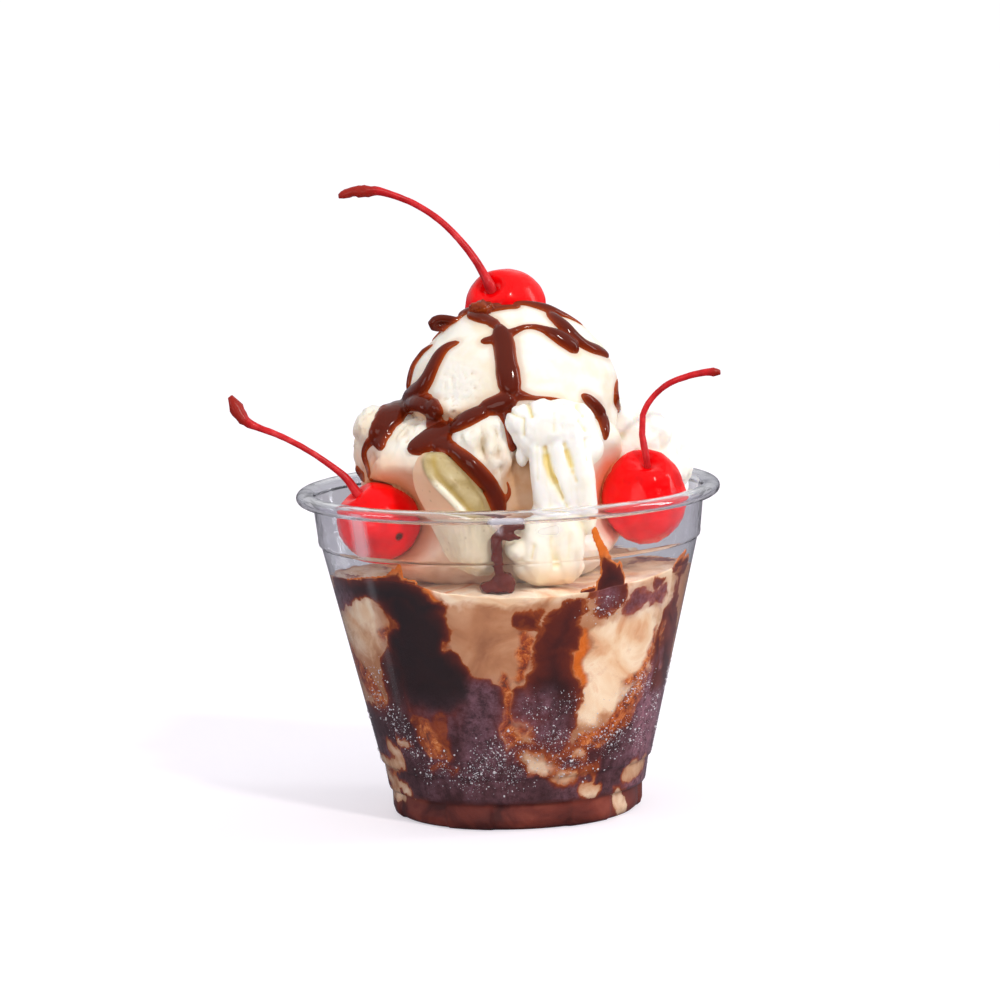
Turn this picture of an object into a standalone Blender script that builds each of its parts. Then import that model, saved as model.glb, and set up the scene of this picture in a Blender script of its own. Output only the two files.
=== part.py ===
"""An ice cream sundae in a clear plastic dessert cup, as solids in metres with +Z up.

The origin is the middle of the cup's base on the table. The front faces -Y. Every food piece
that can be told apart is its own object. The sizes below are in millimetres.
"""

import math

import bpy
import bmesh
from mathutils import Matrix, Vector, noise
from mathutils.bvhtree import BVHTree

MM = 0.001

# Clearance between pieces that touch
GAP = 0.3

# Cup
CUP_HEIGHT = 71.5
RIM_RADIUS = 46.0
WALL_THICKNESS = 0.5
CUP_STEPS = 60
LUG_COUNT = 6
LUG_WIDTH_DEG = 22.0
LUG_ANGLE_DEG = -24.0
PANEL_DEPTH = 0.6
FOOT_HEIGHT = 6.0

# Filling
FUDGE_TOP = 6.3
FILLING_BOTTOM = 7.0
FILLING_TOP = 52.2
FILLING_UNEVEN = 0.8

# Scoops
TOP_SCOOP_CENTRE = (2.0, 0.0, 88.0)
TOP_SCOOP_RADII = (22.4, 22.4, 22.0)
TOP_SCOOP_FLOOR = 82.0
LOWER_SCOOP_CENTRE = (-3.0, 1.0, 70.0)
LOWER_SCOOP_RADII = (28.5, 26.0, 20.0)
SHOULDER_CENTRE = (-22.5, -1.0, 81.0)
SHOULDER_RADII = (10.0, 11.0, 8.4)
SKIRT_CENTRE = (-4.5, -20.5, 80.0)
SKIRT_RADII = (7.5, 6.0, 10.5)

# Banana piece
BANANA_CENTRE = (-9.8, -27.0, 67.6)
BANANA_RADII = (8.6, 6.2, 14.6)
BANANA_LEAN_DEG = -14.0

# Whipped cream
CREAM_HEAD_CENTRE = (11.2, -24.5, 81.6)
CREAM_HEAD_RADII = (10.6, 7.4, 10.4)
CREAM_FALL_CENTRE = (11.4, -26.5, 67.5)
CREAM_FALL_RADII = (7.4, 6.4, 14.5)
CREAM_FOOT_CENTRE = (8.9, -27.5, 59.6)
CREAM_FOOT_RADII = (8.0, 6.0, 6.6)
BACK_CREAM_CENTRE = (25.0, 10.0, 72.6)
BACK_CREAM_RADII = (15.0, 13.5, 15.0)

# Cherries
TOP_CHERRY_CENTRE = (0.8, 5.0, 109.6)
TOP_CHERRY_RADII = (8.8, 8.6, 8.0)
LEFT_CHERRY_CENTRE = (-27.6, -14.0, 66.3)
LEFT_CHERRY_RADII = (8.0, 8.0, 7.8)
RIGHT_CHERRY_CENTRE = (29.0, -9.0, 68.8)
RIGHT_CHERRY_RADII = (9.2, 9.0, 10.2)

# The drizzle is drawn on a plane through the middle of the cup and carried onto the scoops
# along the lines that meet at this point, in front of the cup and above it
DRAWING_POINT = (-1.8, -1047.0, 204.6)
DRIZZLE_STEP = 2.4


def clear_scene():
    for thing in list(bpy.data.objects):
        bpy.data.objects.remove(thing, do_unlink=True)


def make_object(name, mesh):
    thing = bpy.data.objects.new(name, mesh)
    bpy.context.scene.collection.objects.link(thing)
    return thing


def object_from_bmesh(name, bm):
    mesh = bpy.data.meshes.new(name)
    bm.to_mesh(mesh)
    bm.free()
    return make_object(name, mesh)


def remove_object(thing):
    bpy.data.objects.remove(thing, do_unlink=True)


def bake_modifiers(thing):
    """Makes the shape that the modifiers give the object's own mesh."""
    bpy.context.view_layer.update()
    graph = bpy.context.evaluated_depsgraph_get()
    mesh = bpy.data.meshes.new_from_object(thing.evaluated_get(graph))
    thing.modifiers.clear()
    thing.data = mesh


def turned(name, outline, steps):
    """A shape turned round +Z from (radius, height) points in mm."""
    mesh = bpy.data.meshes.new(name)
    points = [(r * MM, 0.0, z * MM) for r, z in outline]
    mesh.from_pydata(points, [(i, i + 1) for i in range(len(points) - 1)], [])
    thing = make_object(name, mesh)
    screw = thing.modifiers.new("turn", "SCREW")
    screw.axis = "Z"
    screw.steps = steps
    screw.render_steps = steps
    screw.use_merge_vertices = True
    screw.merge_threshold = 0.00001
    bake_modifiers(thing)
    return thing


def sheet_outline(path, thickness):
    """Both sides of a bent sheet, from the middle of the inner floor, over the rim, to the underside."""
    half = thickness / 2
    inner = []
    outer = []
    for i, (r, z) in enumerate(path):
        r0, z0 = path[max(i - 1, 0)]
        r1, z1 = path[min(i + 1, len(path) - 1)]
        length = math.hypot(r1 - r0, z1 - z0)
        side_r = -(z1 - z0) / length * half
        side_z = (r1 - r0) / length * half
        inner.append((max(r + side_r, 0.0), z + side_z))
        outer.append((max(r - side_r, 0.0), z - side_z))
    return inner + outer[::-1]


def cup_path():
    """The middle of the cup's wall, from the middle of its base to the end of the rolled rim."""
    half = WALL_THICKNESS / 2
    path = [(0.0, half), (25.4, half), (26.6, 0.9), (26.95, 2.0), (27.05, 5.5), (27.7, 6.2)]
    path += [(28.6, 11.4), (29.35, 12.2), (40.6, 59.3), (41.2, 60.0), (41.3, 61.4), (42.0, 67.4)]
    roll_r = RIM_RADIUS - half - 1.7
    roll_z = CUP_HEIGHT - half - 1.25
    for degrees in (180, 135, 90, 45, 0, -45, -85):
        turn = math.radians(degrees)
        path.append((roll_r + 1.7 * math.cos(turn), roll_z + 1.25 * math.sin(turn)))
    return path


def inside_radius(z):
    """The radius inside the cup's wall at height z, in mm."""
    path = cup_path()[1:12]
    for (r0, z0), (r1, z1) in zip(path, path[1:]):
        if z0 <= z <= z1:
            return r0 + (r1 - r0) * (z - z0) / (z1 - z0) - WALL_THICKNESS / 2
    return path[-1][0] - WALL_THICKNESS / 2


def press_foot_panels(thing):
    """Moves the foot ring inwards between its lugs."""
    for vertex in thing.data.vertices:
        z = vertex.co.z / MM
        radius = math.hypot(vertex.co.x, vertex.co.y) / MM
        if z > FOOT_HEIGHT or radius < 24.0:
            continue
        degrees = math.degrees(math.atan2(vertex.co.x, -vertex.co.y)) - LUG_ANGLE_DEG
        spacing = 360.0 / LUG_COUNT
        away = abs((degrees + spacing / 2) % spacing - spacing / 2)
        share = min(max((away - LUG_WIDTH_DEG / 2) / 4.0, 0.0), 1.0)
        scale = 1.0 - PANEL_DEPTH * share / radius
        vertex.co.x *= scale
        vertex.co.y *= scale


def filling_level(x, y):
    """Height of the filling's top at (x, y) in mm."""
    bumps = noise.noise(Vector((x * 0.09 + 4.0, y * 0.09, 1.7)))
    return FILLING_TOP + FILLING_UNEVEN * bumps


def lump(name, centre, radii, detail=4, bumps=0.0, bump_size=8.0, fullness=2.0, grow=0.0,
         lean_deg=0.0, shape=None):
    """An uneven ball of food: a rounded box or an ellipsoid with bumps, larger by grow mm."""
    bm = bmesh.new()
    bmesh.ops.create_icosphere(bm, subdivisions=detail, radius=1.0)
    lean = Matrix.Rotation(math.radians(lean_deg), 3, "Y")
    size = Vector(radii)
    for vertex in bm.verts:
        way = vertex.co.normalized()
        total = sum(abs(part) ** fullness for part in way) ** (1.0 / fullness)
        point = Vector(part * half / total for part, half in zip(way, size))
        out = Vector(part / half for part, half in zip(way, size)).normalized()
        spot = (point + Vector(centre)) / bump_size
        offset = bumps * (noise.noise(spot) + 0.5 * noise.noise(spot * 2.3)) + grow
        if shape:
            offset += shape(way, point)
        vertex.co = (Vector(centre) + lean @ (point + out * offset)) * MM
    return object_from_bmesh(name, bm)


def press_from_below(thing, level):
    """Flattens the underside of a piece onto the surface it rests on."""
    for vertex in thing.data.vertices:
        x, y, z = vertex.co / MM
        vertex.co.z = max(z, level(x, y)) * MM


def keep_inside_cup(thing, clearance):
    """Draws in what would reach the cup's wall."""
    for vertex in thing.data.vertices:
        x, y, z = vertex.co / MM
        if z > CUP_HEIGHT + 1.0:
            continue
        radius = math.hypot(x, y)
        most = inside_radius(z) - clearance
        if radius > most:
            vertex.co.x *= most / radius
            vertex.co.y *= most / radius


def smooth_path(points, step):
    """Points about one step apart on a smooth line through the given ones."""
    points = [Vector(point) for point in points]
    points = [2 * points[0] - points[1]] + points + [2 * points[-1] - points[-2]]
    found = []
    for a, b, c, d in zip(points, points[1:], points[2:], points[3:]):
        count = max(1, round((c - b).length / step))
        for i in range(count):
            t = i / count
            found.append(0.5 * (2 * b + (c - a) * t + (2 * a - 5 * b + 4 * c - d) * t * t
                                + (3 * b - a - 3 * c + d) * t * t * t))
    found.append(points[-2])
    return found


def rod(name, points, radii, sides=2):
    """A round rod through points in mm, with a radius in mm at each, as a closed mesh."""
    curve = bpy.data.curves.new(name, "CURVE")
    curve.dimensions = "3D"
    curve.bevel_depth = MM
    curve.bevel_resolution = sides
    curve.use_fill_caps = True
    line = curve.splines.new("POLY")
    line.points.add(len(points) - 1)
    for spot, point, radius in zip(line.points, points, radii):
        spot.co = (*(Vector(point) * MM), 1.0)
        spot.radius = radius
    helper = make_object(name, curve)
    bpy.context.view_layer.update()
    graph = bpy.context.evaluated_depsgraph_get()
    mesh = bpy.data.meshes.new_from_object(helper.evaluated_get(graph))
    remove_object(helper)
    bm = bmesh.new()
    bm.from_mesh(mesh)
    bmesh.ops.remove_doubles(bm, verts=bm.verts, dist=0.000002)
    bmesh.ops.recalc_face_normals(bm, faces=bm.faces)
    bm.to_mesh(mesh)
    bm.free()
    return make_object(name, mesh)


def stem(name, points, radii):
    """A curved cherry stem, thicker where the radii say so."""
    path = smooth_path(points, 3.0)
    given = [Vector(point) for point in points]
    along = []
    for point in path:
        near = min(range(len(given)), key=lambda i: (given[i] - point).length)
        other = min((i for i in (near - 1, near + 1) if 0 <= i < len(given)),
                    key=lambda i: (given[i] - point).length)
        to_near = (given[near] - point).length
        to_other = (given[other] - point).length
        share = to_near / (to_near + to_other)
        along.append(radii[near] * (1 - share) + radii[other] * share)
    return rod(name, path, along, sides=1)


def join_pieces(thing, pieces):
    """Fuses the pieces to the thing by one Boolean union and removes them."""
    group = bpy.data.collections.new("pieces")
    bpy.context.scene.collection.children.link(group)
    for piece in pieces:
        bpy.context.scene.collection.objects.unlink(piece)
        group.objects.link(piece)
    union = thing.modifiers.new("fuse", "BOOLEAN")
    union.operation = "UNION"
    union.solver = "EXACT"
    union.operand_type = "COLLECTION"
    union.collection = group
    bake_modifiers(thing)
    for piece in pieces:
        remove_object(piece)
    bpy.data.collections.remove(group)


def cut_pieces(thing, pieces):
    """Takes each piece's shape away from the thing and removes the piece."""
    for piece in pieces:
        cut = thing.modifiers.new("cut", "BOOLEAN")
        cut.operation = "DIFFERENCE"
        cut.solver = "EXACT"
        cut.object = piece
        bake_modifiers(thing)
        remove_object(piece)


def keep_main_body(thing):
    """Drops loose crumbs that the Booleans left."""
    bm = bmesh.new()
    bm.from_mesh(thing.data)
    left = set(bm.verts)
    bodies = []
    while left:
        start = left.pop()
        body = {start}
        edge = [start]
        while edge:
            vertex = edge.pop()
            for link in vertex.link_edges:
                other = link.other_vert(vertex)
                if other not in body:
                    body.add(other)
                    edge.append(other)
        left -= body
        bodies.append(body)
    bodies.sort(key=len, reverse=True)
    loose = [vertex for body in bodies[1:] for vertex in body]
    bmesh.ops.delete(bm, geom=loose, context="VERTS")
    bmesh.ops.dissolve_degenerate(bm, edges=bm.edges, dist=0.00001)
    bmesh.ops.triangulate(bm, faces=bm.faces)
    bm.to_mesh(thing.data)
    bm.free()


def surface_of(things):
    """The surfaces of several objects as one tree for casting lines onto."""
    points = []
    faces = []
    for thing in things:
        start = len(points)
        points += [vertex.co.copy() for vertex in thing.data.vertices]
        faces += [[start + i for i in face.vertices] for face in thing.data.polygons]
    return BVHTree.FromPolygons(points, faces)


def drizzle(name, drawn, widths, height, surface, grow=0.0):
    """A strand of syrup lying on a surface, from (x, z) points in mm on the drawing plane."""
    start = Vector(DRAWING_POINT) * MM
    path = smooth_path([(x, 0.0, z) for x, z in drawn], DRIZZLE_STEP)
    centres = []
    radii = []
    for i, point in enumerate(path):
        place = i / (len(path) - 1) * (len(widths) - 1)
        low = min(int(place), len(widths) - 2)
        width = widths[low] + (widths[low + 1] - widths[low]) * (place - low)
        aim = (point * MM - start).normalized()
        hit, normal, _, _ = surface.ray_cast(start, aim)
        if hit is None:
            hit, normal, _, _ = surface.find_nearest(point * MM)
        rise = min(height, width * 0.45)
        radius = (width * width / 4 + rise * rise) / (2 * rise)
        centres.append(hit / MM - normal * (radius - rise))
        radii.append(radius + grow)
    for _ in range(2):
        centres = [centres[0]] + [
            (a + 2 * b + c) / 4 for a, b, c in zip(centres, centres[1:], centres[2:])
        ] + [centres[-1]]
    first = centres[0] + (centres[0] - centres[1]).normalized() * radii[0] * 0.5
    last = centres[-1] + (centres[-1] - centres[-2]).normalized() * radii[-1] * 0.5
    return rod(name, [first] + centres + [last], [radii[0] * 0.6] + radii + [radii[-1] * 0.6])


def paint(thing, name, colour, roughness, alpha=1.0, transmission=0.0):
    material = bpy.data.materials.new(name)
    material.use_nodes = True
    shader = material.node_tree.nodes["Principled BSDF"]
    shader.inputs["Base Color"].default_value = (*colour, 1.0)
    shader.inputs["Roughness"].default_value = roughness
    shader.inputs["Alpha"].default_value = alpha
    shader.inputs["Transmission Weight"].default_value = transmission
    thing.data.materials.clear()
    thing.data.materials.append(material)


# Drizzle on the top scoop: (x, z) points in mm, widths in mm along the strand
TOP_STRANDS = {
    "crest": ([(-12.4, 104.9), (-10.3, 107.1), (-7.4, 108.3), (-3.9, 109.8), (0.7, 110.4),
               (5.3, 110.1), (9.9, 109.1), (13.9, 107.5), (16.9, 105.8)],
              [1.2, 2.4, 2.6, 2.6, 2.2, 1.0]),
    "crest_drop": ([(-5.1, 109.0), (-2.8, 107.2), (-0.6, 105.8), (0.2, 104.4)], [2.6, 3.0, 3.4]),
    "right_fall": ([(9.0, 108.7), (12.1, 106.1), (14.9, 103.2), (18.3, 100.7), (21.6, 98.9)],
                   [2.2, 3.4, 3.8, 2.2]),
    "spine": ([(-0.6, 105.0), (0.0, 100.5), (0.3, 95.8), (1.1, 92.4)], [3.6, 4.6, 4.8, 5.0]),
    "shoulder": ([(-4.4, 102.6), (-0.7, 102.8), (2.8, 104.1), (6.3, 105.1), (9.2, 104.3),
                  (12.0, 102.4), (15.7, 99.7)], [1.8, 2.6, 2.2, 2.4, 3.8, 3.2]),
    "left_fall": ([(-9.6, 102.5), (-12.3, 100.6), (-14.4, 97.5), (-16.1, 94.0), (-18.0, 91.8)],
                  [1.6, 2.8, 3.4, 4.0]),
    "left_limb": ([(-15.1, 102.0), (-18.1, 99.3), (-20.0, 95.9), (-20.8, 92.8)], [1.4, 2.4, 2.0]),
    "right_edge": ([(24.4, 93.3), (23.6, 89.8), (24.4, 87.4)], [1.2, 2.2, 1.4]),
}

# Drizzle on the lower scoop
LOWER_STRANDS = {
    "left_fall": ([(-18.9, 91.1), (-22.5, 88.9), (-25.5, 86.2), (-27.3, 83.6), (-28.4, 80.5),
                   (-26.6, 78.4)], [4.0, 4.2, 4.0, 3.8, 3.4]),
    "left_run": ([(-28.9, 81.0), (-29.6, 77.0), (-29.0, 73.6)], [2.4, 1.8, 1.4]),
    "arch": ([(-21.9, 88.4), (-18.4, 89.1), (-15.3, 88.7), (-12.7, 86.9), (-14.2, 85.1),
              (-16.9, 83.0)], [3.0, 3.4, 3.6, 3.6]),
    "diagonal": ([(3.6, 90.6), (0.1, 90.0), (-4.0, 88.6), (-8.1, 86.7), (-11.6, 84.9),
                  (-15.8, 82.3), (-20.2, 79.5)], [3.6, 4.4, 4.6, 4.8, 4.6]),
    "descend": ([(-15.9, 80.1), (-12.4, 78.7), (-9.0, 76.5), (-5.6, 73.9), (-3.4, 70.6),
                 (-1.9, 67.2)], [4.6, 5.2, 4.8, 4.0]),
    "behind_cream": ([(-0.2, 86.5), (0.6, 83.0), (1.2, 79.5), (1.0, 77.1)], [2.6, 3.2, 2.4]),
    "crescent": ([(16.5, 90.1), (19.1, 88.2), (21.0, 85.3), (21.6, 82.3), (21.0, 80.3)],
                 [1.8, 3.2, 3.4, 2.0]),
    "far_left": ([(-32.6, 77.4), (-31.6, 75.3), (-30.7, 72.6)], [1.4, 2.0, 1.2]),
}

STRAND_HEIGHT = 1.3

# A curl of set syrup that sticks out on the left of the top scoop
CURL = [(-8.0, -3.0, 106.9), (-11.7, -3.0, 107.7), (-13.8, -3.0, 107.9), (-15.2, -3.0, 107.2),
        (-14.8, -2.2, 106.2), (-12.4, -1.6, 106.3), (-8.5, -1.2, 106.4)]
CURL_RADII = [1.2, 1.1, 1.1, 1.0, 0.9, 0.9, 1.0]

TOP_STEM = [(-1.9, 0.4, 112.8), (-2.6, -1.0, 115.0), (-3.7, 0.0, 117.2), (-5.7, 1.0, 120.7),
            (-9.0, 2.0, 125.0), (-13.2, 3.0, 129.2), (-18.1, 4.0, 132.5), (-22.3, 4.0, 134.4),
            (-26.0, 4.0, 135.8), (-28.8, 4.0, 135.9), (-31.6, 4.0, 136.0), (-34.6, 4.0, 135.0)]
TOP_STEM_RADII = [1.5, 1.25, 1.0, 0.9, 0.8, 0.75, 0.75, 0.8, 1.1, 1.6, 1.3, 0.8]
LEFT_STEM = [(-30.6, -14.0, 70.4), (-32.3, -14.0, 72.3), (-34.6, -14.0, 75.6),
             (-38.5, -13.5, 78.9), (-43.8, -13.0, 82.5), (-49.3, -12.0, 85.3),
             (-53.5, -11.0, 86.9), (-56.1, -11.0, 88.5), (-57.7, -10.0, 91.0),
             (-59.1, -10.0, 93.6)]
LEFT_STEM_RADII = [1.6, 1.2, 0.9, 0.75, 0.7, 0.7, 0.8, 1.3, 1.5, 0.9]
RIGHT_STEM = [(30.2, -13.2, 75.0), (29.8, -13.4, 78.0), (29.1, -12.0, 82.6), (29.4, -11.0, 86.7),
              (31.5, -10.0, 90.2), (35.0, -10.0, 93.1), (39.4, -9.0, 94.6), (43.3, -9.0, 95.3),
              (46.5, -9.0, 95.2)]
RIGHT_STEM_RADII = [1.2, 0.9, 0.75, 0.7, 0.7, 0.7, 0.75, 0.85, 1.0]


def dimple(way, depth, wide_deg):
    """A shape function that sinks the skin of a cherry where its stem goes in."""
    centre = Vector(way).normalized()

    def sink(direction, _point):
        away = math.degrees(centre.angle(direction))
        return -depth * math.exp(-((away / wide_deg) ** 2))

    return sink


def cherry(name, centre, radii, stem_points, stem_radii, way, detail):
    body = lump(name, centre, radii, detail=detail, bumps=0.25, bump_size=6.0,
                shape=dimple(way, 1.6, 24.0))
    join_pieces(body, [stem(name + "_stem", stem_points, stem_radii)])
    keep_main_body(body)
    return body


def rib(way, _point):
    """Upright ribs of piped cream."""
    return 0.55 * math.sin(9.0 * math.atan2(way.x, -way.y))


def filling(name):
    outline = [(0.0, FILLING_BOTTOM)]
    outline += [(inside_radius(FILLING_BOTTOM) - GAP - 0.6, FILLING_BOTTOM)]
    for z in (8.0, 11.3, 12.6, 25.0, 38.0, FILLING_TOP):
        outline.append((inside_radius(z) - GAP, z))
    edge = outline[-1][0]
    outline += [(edge * share, FILLING_TOP) for share in (0.85, 0.65, 0.45, 0.25)]
    outline.append((0.0, FILLING_TOP))
    thing = turned(name, outline[::-1], 48)
    for vertex in thing.data.vertices:
        x, y, z = vertex.co / MM
        if z > FILLING_TOP - 0.1:
            vertex.co.z = filling_level(x, y) * MM
    keep_inside_cup(thing, GAP)
    return thing


def fudge(name):
    outline = [(0.0, FUDGE_TOP), (20.0, FUDGE_TOP), (25.6, FUDGE_TOP - 0.5), (25.6, 2.2),
               (24.4, 1.0), (0.0, 0.8)]
    return turned(name, outline, 48)


def face_outwards(thing):
    bm = bmesh.new()
    bm.from_mesh(thing.data)
    bmesh.ops.recalc_face_normals(bm, faces=bm.faces)
    bm.to_mesh(thing.data)
    bm.free()


def top_scoop_lump(name, grow=0.0):
    thing = lump(name, TOP_SCOOP_CENTRE, TOP_SCOOP_RADII, bumps=0.9, bump_size=9.0, grow=grow)
    press_from_below(thing, lambda x, y: TOP_SCOOP_FLOOR - grow)
    return thing


def cream_lumps(name, grow=0.0):
    head = lump(name, CREAM_HEAD_CENTRE, CREAM_HEAD_RADII, detail=3, bumps=0.8, bump_size=5.0,
                fullness=2.4, grow=grow, shape=rib)
    fall = lump("fall", CREAM_FALL_CENTRE, CREAM_FALL_RADII, detail=3, bumps=0.6, bump_size=5.0,
                fullness=2.4, grow=grow, shape=rib)
    foot = lump("foot", CREAM_FOOT_CENTRE, CREAM_FOOT_RADII, detail=3, bumps=0.8, bump_size=4.0,
                grow=grow)
    for piece in (fall, foot):
        press_from_below(piece, lambda x, y: filling_level(x, y) + GAP - grow)
    join_pieces(head, [fall, foot])
    return head


def banana_lump(name, grow=0.0):
    thing = lump(name, BANANA_CENTRE, BANANA_RADII, detail=3, bumps=0.4, bump_size=8.0,
                 fullness=2.3, grow=grow, lean_deg=BANANA_LEAN_DEG)
    press_from_below(thing, lambda x, y: filling_level(x, y) + GAP - grow)
    return thing


def back_cream_lump(name, grow=0.0):
    thing = lump(name, BACK_CREAM_CENTRE, BACK_CREAM_RADII, detail=3, bumps=1.4, bump_size=6.0,
                 fullness=2.2, grow=grow)
    press_from_below(thing, lambda x, y: filling_level(x, y) + GAP - grow)
    keep_inside_cup(thing, 0.6 - grow)
    return thing


clear_scene()

cup = turned("cup", sheet_outline(cup_path(), WALL_THICKNESS), CUP_STEPS)
press_foot_panels(cup)
fudge_layer = fudge("fudge_layer")
melted_mix = filling("ice_cream_filling")

# Cherries keep their whole shape
top_cherry = cherry("top_cherry", TOP_CHERRY_CENTRE, TOP_CHERRY_RADII, TOP_STEM, TOP_STEM_RADII,
                    (-3.4, -6.0, 5.4), 3)
left_cherry = cherry("left_cherry", LEFT_CHERRY_CENTRE, LEFT_CHERRY_RADII, LEFT_STEM,
                     LEFT_STEM_RADII, (-4.7, 0.0, 6.0), 3)
right_cherry = cherry("right_cherry", RIGHT_CHERRY_CENTRE, RIGHT_CHERRY_RADII, RIGHT_STEM,
                      RIGHT_STEM_RADII, (0.8, -4.4, 9.2), 3)

# Shapes of the scoops before the drizzle and the sockets
top_scoop = top_scoop_lump("top_scoop")
lower_scoop = lump("lower_scoop", LOWER_SCOOP_CENTRE, LOWER_SCOOP_RADII, bumps=1.3,
                   bump_size=8.0, fullness=2.8)
press_from_below(lower_scoop, lambda x, y: filling_level(x, y) + GAP)
shoulder = lump("shoulder", SHOULDER_CENTRE, SHOULDER_RADII, detail=3, bumps=1.6, bump_size=5.0)
skirt = lump("skirt", SKIRT_CENTRE, SKIRT_RADII, detail=3, bumps=1.2, bump_size=4.0)
join_pieces(lower_scoop, [shoulder, skirt])

# Drizzle fused to the scoop it lies on
top_surface = surface_of([top_scoop])
lower_surface = surface_of([lower_scoop])
top_strands = [drizzle(name, drawn, widths, STRAND_HEIGHT, top_surface)
               for name, (drawn, widths) in TOP_STRANDS.items()]
grown_strands = [drizzle(name, drawn, widths, STRAND_HEIGHT, top_surface, GAP)
                 for name, (drawn, widths) in TOP_STRANDS.items()]
top_strands.append(rod("curl", CURL, CURL_RADII))
lower_strands = [drizzle(name, drawn, widths, STRAND_HEIGHT, lower_surface)
                 for name, (drawn, widths) in LOWER_STRANDS.items()]
join_pieces(top_scoop, top_strands)
cut_pieces(top_scoop, [lump("socket", TOP_CHERRY_CENTRE, TOP_CHERRY_RADII, detail=3, bumps=0.25,
                            bump_size=6.0, grow=GAP)])
keep_main_body(top_scoop)
join_pieces(lower_scoop, lower_strands)

# Whipped cream and banana
front_cream = cream_lumps("front_whipped_cream")
keep_main_body(front_cream)
banana = banana_lump("banana_piece")
cut_pieces(banana, [cream_lumps("socket", GAP)])
keep_main_body(banana)


def top_socket():
    grown = top_scoop_lump("socket", GAP)
    join_pieces(grown, grown_strands)
    return grown


back_cream = back_cream_lump("back_whipped_cream")
right_socket = lump("socket", RIGHT_CHERRY_CENTRE, RIGHT_CHERRY_RADII, detail=3, bumps=0.25,
                    bump_size=6.0, grow=GAP)
left_socket = lump("socket", LEFT_CHERRY_CENTRE, LEFT_CHERRY_RADII, detail=3, bumps=0.25,
                   bump_size=6.0, grow=GAP)
upper_socket = top_socket()
second_socket = make_object("socket", upper_socket.data.copy())
third_socket = make_object("socket", right_socket.data.copy())
cut_pieces(back_cream, [upper_socket, right_socket])
keep_main_body(back_cream)
cut_pieces(front_cream, [make_object("socket", second_socket.data.copy())])
keep_main_body(front_cream)
cut_pieces(lower_scoop, [second_socket, third_socket, left_socket, back_cream_lump("socket", GAP),
                         cream_lumps("socket", GAP), banana_lump("socket", GAP)])
keep_main_body(lower_scoop)

paint(cup, "clear_pet", (0.95, 0.95, 0.97), 0.05, 0.25, 1.0)
paint(fudge_layer, "fudge", (0.06, 0.015, 0.01), 0.3)
paint(melted_mix, "melted_ice_cream", (0.5, 0.27, 0.17), 0.4)
paint(top_scoop, "vanilla_ice_cream", (0.85, 0.76, 0.6), 0.45)
paint(lower_scoop, "vanilla_ice_cream_low", (0.82, 0.7, 0.52), 0.45)
paint(banana, "banana", (0.8, 0.66, 0.3), 0.45)
paint(front_cream, "whipped_cream", (0.92, 0.91, 0.86), 0.5)
paint(back_cream, "whipped_cream_back", (0.92, 0.91, 0.86), 0.5)
paint(top_cherry, "maraschino_cherry", (0.62, 0.0, 0.01), 0.15)
paint(left_cherry, "maraschino_cherry_left", (0.62, 0.0, 0.01), 0.15)
paint(right_cherry, "maraschino_cherry_right", (0.62, 0.0, 0.01), 0.15)

for solid in (cup, fudge_layer, melted_mix):
    face_outwards(solid)
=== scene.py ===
# %% [markdown]
# An ice cream sundae in a clear plastic cup
#
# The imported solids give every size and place. This script builds the looks around them: a thin
# clear cup, ice cream marbled with chocolate syrup behind its wall, two scoops with glossy
# drizzle, whipped cream, a piece of banana and three stemmed cherries.
# Lengths in this script are millimetres until a mesh is made, and the front faces -Y.

import math
import bpy
import bmesh
import numpy as np
from mathutils import Matrix, Vector, noise
from mathutils.bvhtree import BVHTree


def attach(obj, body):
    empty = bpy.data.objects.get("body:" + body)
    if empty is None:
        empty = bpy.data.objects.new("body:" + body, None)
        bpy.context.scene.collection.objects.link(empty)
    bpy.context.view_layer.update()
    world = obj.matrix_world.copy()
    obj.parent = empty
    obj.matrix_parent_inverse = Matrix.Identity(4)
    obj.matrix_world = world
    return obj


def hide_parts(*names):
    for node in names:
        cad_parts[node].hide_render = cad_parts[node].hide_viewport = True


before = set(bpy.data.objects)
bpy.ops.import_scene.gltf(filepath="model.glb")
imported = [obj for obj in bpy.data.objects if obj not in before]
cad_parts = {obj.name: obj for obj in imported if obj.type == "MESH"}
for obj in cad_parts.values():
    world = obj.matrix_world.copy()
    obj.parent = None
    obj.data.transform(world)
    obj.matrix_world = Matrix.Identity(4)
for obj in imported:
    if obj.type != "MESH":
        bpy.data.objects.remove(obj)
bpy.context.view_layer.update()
MM = 0.001
rng = np.random.default_rng(7)
print("CAD nodes:", ", ".join(sorted(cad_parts)))

# %% [markdown]
# Small helpers come first. One makes a colour from its hex text, one adds a shader node with its
# settings and links, and a few turn points or Blender objects into smooth meshes. A noise scale
# counts features a metre, so 200 makes them 5 mm apart.

# %% Helpers for colours, nodes and meshes
def linear(text):
    """Linear colour from sRGB hex text such as #ff8800."""
    parts = [int(text[i:i + 2], 16) / 255 for i in (1, 3, 5)]
    return (*[p / 12.92 if p <= 0.04045 else ((p + 0.055) / 1.055) ** 2.4 for p in parts], 1.0)


def add_node(tree, kind, inputs=None, stops=None, **settings):
    """A shader node. Inputs are values, or sockets to link from; stops are a ramp's colours."""
    node = tree.nodes.new(kind)
    for name, value in settings.items():
        setattr(node, name, value)
    for name, value in (inputs or {}).items():
        if isinstance(value, bpy.types.NodeSocket):
            tree.links.new(value, node.inputs[name])
        else:
            node.inputs[name].default_value = value
    for i, (place, colour) in enumerate(stops or []):
        ramp = node.color_ramp.elements
        stop = ramp[i] if i < 2 else ramp.new(place)
        stop.position = place
        stop.color = colour
    return node


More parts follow.
